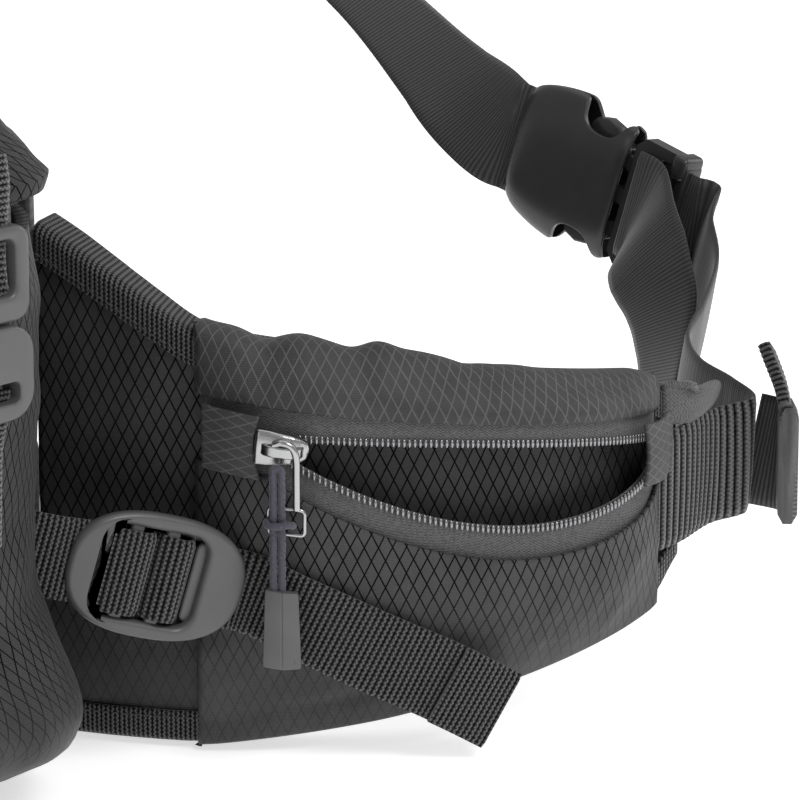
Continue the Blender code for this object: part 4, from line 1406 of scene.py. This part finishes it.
def build_side_buckle(side):
    """The side strap from the lid to the body, with its clip."""
    tag = HANDS[side]
    x, y = BODY_HALF_WIDTH + 2.4, -181.0
    # distance out from x, height
    upper_run = ((3.4, 164), (4.4, 158), (4.0, 152), (3.0, 146), (2.6, 139), (3.4, 132))
    lower_run = ((3.4, 110), (2.6, 104), (0.2, 95), (-0.4, 84), (-1.0, 72))
    upper = ribbed("side_webbing_upper_" + tag, [(x + out, y, z) for out, z in upper_run], side, (0, 1, 0))
    dress(upper, "lid", "webbing", "side_strap_upper_" + tag)
    lower = ribbed("side_webbing_lower_" + tag, [(x + out, y, z) for out, z in lower_run], side, (0, 1, 0))
    dress(lower, None, "webbing", "side_strap_lower_" + tag)
    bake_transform(lower, "side_socket_" + tag, "pack", metres((side * x, y, 102)), metres((side * x, y, 76)))
    axes = [Vector(v) for v in ((x + 3.4, y, 137.0), (0, 0, 1), (0, 1, 0), (-1, 0, 0))]
    opening = rounded(6.5, 10.6, 2.5, 5, (1.5, 0))
    male = plate("side_clip_male_" + tag, rounded(11, 14.5, 4.0), [opening], -2.6, 2.6, PLASTIC, axes, side,
                 1.1, 4)
    dress(male, "lid", "plastic", "side_buckle_male_" + tag)
    axes[0] = Vector((x + 3.4, y, 114.5))
    slit = rounded(2.4, 10.4, 1.6, 5, (-4.5, 0))
    female = plate("side_clip_female_" + tag, rounded(10.8, 14.5, 6.5), [slit], -3.4, 3.4, PLASTIC, axes,
                   side, 1.5, 5)
    dress(female, "side_socket_" + tag, "plastic", "side_buckle_female_" + tag)


# ---------------------------------------------------------------- waist belt
BUCKLE_UP = (0.23, 0.131, 0.964)
BUCKLE = basis((26.2, 132.0, 87.7), (-0.972, -0.014, 0.234), BUCKLE_UP)


def build_socket():
    """The two rounded halves of the waist buckle's socket, open at the mouth and notched at both sides."""
    # place along the buckle, half width, share of the full crown
    sections = ((30.4, 13.5, 0.3), (29.9, 15.2, 0.55), (28.8, 16.6, 0.8), (26.5, 18.0, 0.95), (23, 19.2, 1.0),
                (18, 20.4, 1.0), (14, 21.0, 1.0), (11, 21.4, 1.0), (9.6, 21.2, 1.0), (8.8, 20.2, 1.0),
                (8.0, 17.6, 1.0), (6.8, 15.6, 1.0), (4.8, 14.3, 1.0), (2, 13.8, 1.0), (-1, 13.8, 1.0),
                (-3.5, 14.4, 1.0), (-5.2, 16.0, 1.0), (-6.2, 18.0, 1.0), (-6.8, 19.3, 1.0), (-7.6, 19.7, 1.0),
                (-9, 19.2, 0.98), (-10, 18.4, 0.92))
    widest = ((-10, 19.4), (-6, 20.2), (3, 21.4), (10, 21.7), (14, 21.3), (20, 20.3), (26, 18.4),
              (30.4, 14.4))
    columns, wall = 20, 1.5
    for name, s in (("front", -1), ("back", 1)):
        outer, inner = [], []
        for x, w, full in sections:
            limit = table(widest, x)
            for k in range(columns + 1):
                y = -w * math.cos(math.pi * k / columns)
                crown = max(1 - (abs(y) / limit) ** 4.0, 0) ** 0.5
                z = (0.25 + 5.15 * crown) * full
                outer.append(place(BUCKLE, (x, y, s * z)))
                inner.append(place(BUCKLE, (x, y, s * max(z - wall, 0.02))))
        half = make_mesh("waist_socket_" + name, outer + inner, slab_faces(len(sections), columns + 1),
                         PLASTIC_DARK)
        smooth = half.modifiers.new("smooth", "SUBSURF")
        smooth.levels = smooth.render_levels = 1
        dress(half, "pack", "plastic", *(["waist_buckle_socket"] if name == "front" else []))


def build_plug():
    """The plug and prongs stay as CAD nodes, with pads on the prongs and a frame at the strap's end."""
    for name, bevel in (("waist_buckle_plug", 1.9), ("waist_prong_upper", 0.8), ("waist_prong_lower", 0.8)):
        round_edges(finish_node(name, PLASTIC_DARK), bevel, 5, 35)
    half_arm = ((-9.6, 13.2), (-6.0, 15.2), (-3.5, 17.3), (1.0, 18.3), (5.0, 17.2), (6.8, 14.6), (6.0, 12.0),
                (-9.6, 11.0))
    for name, s in (("upper", 1), ("lower", -1)):
        arm = [(x, s * y) for x, y in half_arm]
        pad = plate("waist_prong_pad_" + name, arm, [], -1.9, 1.9, PLASTIC_DARK, BUCKLE, 1, 0.7, 4)
        dress(pad, "waist_prong_" + name, "plastic")
    for name, s in (("upper", 1), ("lower", -1)):
        lug = rounded(2.6, 3.4, 1.6, 5, (-27.6, s * 15.6))
        end = plate("waist_plug_end_" + name, lug, [], -4.2, 4.2, PLASTIC_DARK, BUCKLE, 1, 1.3, 5)
        dress(end, "waist_plug", "plastic")
    bar = rounded(2.0, 17.0, 1.8, 5, (-28.6, 0))
    end = plate("waist_plug_end_bar", bar, [], -3.0, 4.0, PLASTIC_DARK, BUCKLE, 1, 1.3, 5)
    dress(end, "waist_plug", "plastic")


def build_right_strap():
    """From the right wing's tip to the plug: ribbed at first, then turned and smooth."""
    path = (belt(94.9, 13.9, 52.5), belt(100, 14.3, 52.5), belt(107, 14.6, 52.5), (153, 52, 53),
            (140, 58, 54.3), (122.5, 64.5, 55), (107, 77, 56.6), (97, 94, 61), (85.5, 110.5, 66.6),
            (72.5, 122.5, 73), place(BUCKLE, (-38.5, 0, 0.8)), place(BUCKLE, (-33, 0, -0.3)),
            place(BUCKLE, (-20, 0, 0)))
    strap = web("waist_webbing_right", path, BELT_WEB, 1.3, STRAP_WIDE, turns=((0, 0, 1), BUCKLE_UP), rib=2.6,
                height=0.5, step=0.5, smooth_after=0.22, smooth_material=STRAP_SMOOTH, ripple=0.5)
    dress(strap, None, "webbing", "waist_strap_right")
    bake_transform(strap, "pack", "waist_plug", metres((150, 45, 53)), metres((64, 130, 79)))


def build_left_strap():
    """From the socket up in an arch and down to the left wing's tip."""
    left_tip, left_mid = belt(94.9, 14.3, 52.5), belt(105, 17.0, 52)
    path = (place(BUCKLE, (22, 0, 0)), place(BUCKLE, (31.5, 0, 0)), place(BUCKLE, (40, 0, 0)),
            (-35, 132, 109.5), (-60, 124, 131), (-88, 109, 150), (-120, 92, 157), (-148, 80, 152),
            (-167, 70, 136), (-173, 60, 112), (-169, 52, 84), (-left_mid.x, left_mid.y, 57),
            (-left_tip.x, left_tip.y, 52.5))
    turns = (BUCKLE_UP, (-0.24, 0.81, 0.55), (-0.38, 0.90, 0.22), (-0.45, 0.89, 0.05), (-0.42, 0.91, 0.0),
             (-0.40, 0.92, 0.0), (-0.40, 0.92, 0.0), (-0.10, 0.30, 0.90), (0, 0, 1))
    strap = web("waist_webbing_left", path, BELT_WEB, 1.3, STRAP_SMOOTH, turns=turns, rib=1.75, height=0.12,
                ripple=0.6)
    dress(strap, "pack", "webbing", "waist_strap_left")


def build_strap_tail():
    """The loose end that hangs from the plug, beside the right strap."""
    path = (place(BUCKLE, (-14.5, 0, -3.6)), place(BUCKLE, (-22, 0, -6.0)), (56, 117.5, 78.4),
            (63.5, 113.4, 71.4), (68.6, 112, 63.4), (71.8, 109, 55.1), (73.9, 105.8, 46.5),
            (75.2, 102.9, 38.1))
    turns = (BUCKLE_UP, (0.50, 0.20, 0.84), (0.76, 0.14, 0.63), (0.88, -0.08, 0.46), (0.86, -0.32, 0.39),
             (0.81, -0.50, 0.32))
    tail = web("waist_webbing_tail", path, BELT_WEB, 1.2, STRAP_SMOOTH, turns=turns, rib=1.75, height=0.05,
               ripple=0.8)
    dress(tail, "waist_plug", "webbing", "waist_strap_tail")


def build_tip():
    """The folded end of the strap at the right wing's tip, and the tape tab that holds it."""
    inner_path = ((158.5, 60.5, 51.6), (154, 59.5, 52), (149.5, 56.5, 53))
    end_path = ((163.8, 54.6, 51.3), (161.4, 57.2, 51.3), (159, 59.6, 51.5), (157, 61.6, 51.7))
    edge_path = ((161.5, 56, 65.5), (157, 58.5, 71), (150.5, 61, 78))
    folds = (web("waist_fold_inner", inner_path, 29, 1.3, STRAP_SMOOTH, rib=1.75, height=0.1),
             web("waist_fold_end", end_path, BELT_WEB, 4.4, STRAP_WIDE, rib=2.6, height=0.3, step=0.6),
             web("waist_fold_edge", edge_path, 9, 2.8, STRAP, across=(-0.7, 0.7, 0.1), rib=1.45, height=0.25))
    for fold in folds:
        dress(fold, "pack", "webbing")
    rows, uvs = [], []
    for t in reversed(spread(0.0, 1.0, 24)):
        reach = math.sqrt(max(0.0, 1 - (2 * t - 1) ** 2))
        row, uv = [], []
        for f in spread(0.0, 1.0, 16):
            a = 96.5 + 14.5 * f * (0.45 + 0.55 * reach)
            row.append(belt(a, 13.6 + 1.6 * math.sin(math.pi * f), 70.0 + 9.0 * t - 4.0 * f))
            uv.append((t * 12, f * 16))
        rows.append(row)
        uvs.append(uv)
    dress(cloth("wing_tip_tab", rows, TAPE, uvs, 1.6), "pack", "tape")


build_body()
build_lid()
build_lid_zip()
build_back()
build_lumbar_pad("right", 1.5, 27.0)
build_lumbar_pad("left", -27.0, -1.5)
build_yoke()
for hand in HANDS:
    build_wing_pad(hand)
    build_wing_face(hand)
    build_binding(hand, "top", wing_top, 1)
    build_binding(hand, "bottom", wing_bottom, -1)
    build_pocket_lower(hand)
    build_pocket_upper(hand)
    build_pocket_zip(hand)
    build_garages(hand)
    build_pull(hand)
    build_compression(hand)
    build_side_buckle(hand)
build_plug()
build_socket()
build_right_strap()
build_left_strap()
build_strap_tail()
build_tip()

# ---------------------------------------------------------------- camera, light and floor (in metres)
AIM = Vector((0.1486, -0.0649, 0.0874))
EYE = Vector((1.019, -0.936, 0.441))
SLIDE = Vector((-0.0018, -0.0009, 0.0023))
camera_data = bpy.data.cameras.new("camera")
camera_data.sensor_width = 36
camera_data.lens = 245
camera_data.clip_end = 20
camera = link("camera", camera_data)
camera.location = EYE + SLIDE
camera.rotation_euler = (AIM - EYE).to_track_quat("-Z", "Y").to_euler()
bpy.context.scene.camera = camera


def area_light(name, place_at, target, size, power):
    data = bpy.data.lights.new(name, "AREA")
    data.shape = "SQUARE"
    data.size = size
    data.energy = power
    obj = link(name, data)
    obj.location = place_at
    obj.rotation_euler = (Vector(target) - Vector(place_at)).to_track_quat("-Z", "Y").to_euler()


area_light("key", (1.1, -0.1, 1.2), (0.12, -0.06, 0.08), 0.55, 9.0)
area_light("front_fill", (0.2, -1.5, 0.7), (0.12, -0.06, 0.07), 1.1, 2.6)
area_light("top", (-0.2, 0.3, 1.5), (0.05, 0, 0.1), 1.2, 3.6)
area_light("rim", (0.5, 1.2, 0.6), (0.12, 0.0, 0.08), 0.8, 4.0)

world = bpy.data.worlds.new("studio")
bpy.context.scene.world = world
world.use_nodes = True
world.node_tree.nodes["Background"].inputs["Color"].default_value = (1, 1, 1, 1)
world.node_tree.nodes["Background"].inputs["Strength"].default_value = 0.42
bpy.context.scene.view_settings.view_transform = "Standard"

floor_mat, _, floor_shader = shader("floor_paper", (0.93, 0.93, 0.93), 0.9)
floor_shader.inputs["Emission Color"].default_value = (1, 1, 1, 1)
floor_shader.inputs["Emission Strength"].default_value = 0.6
FLOOR_HALF, FLOOR_Z = 6000, -0.4
corners = ((-1, -1), (1, -1), (1, 1), (-1, 1))
floor = make_mesh("floor", [(x * FLOOR_HALF, y * FLOOR_HALF, FLOOR_Z) for x, y in corners], [(0, 1, 2, 3)],
                  floor_mat, smooth=False, outward=False)
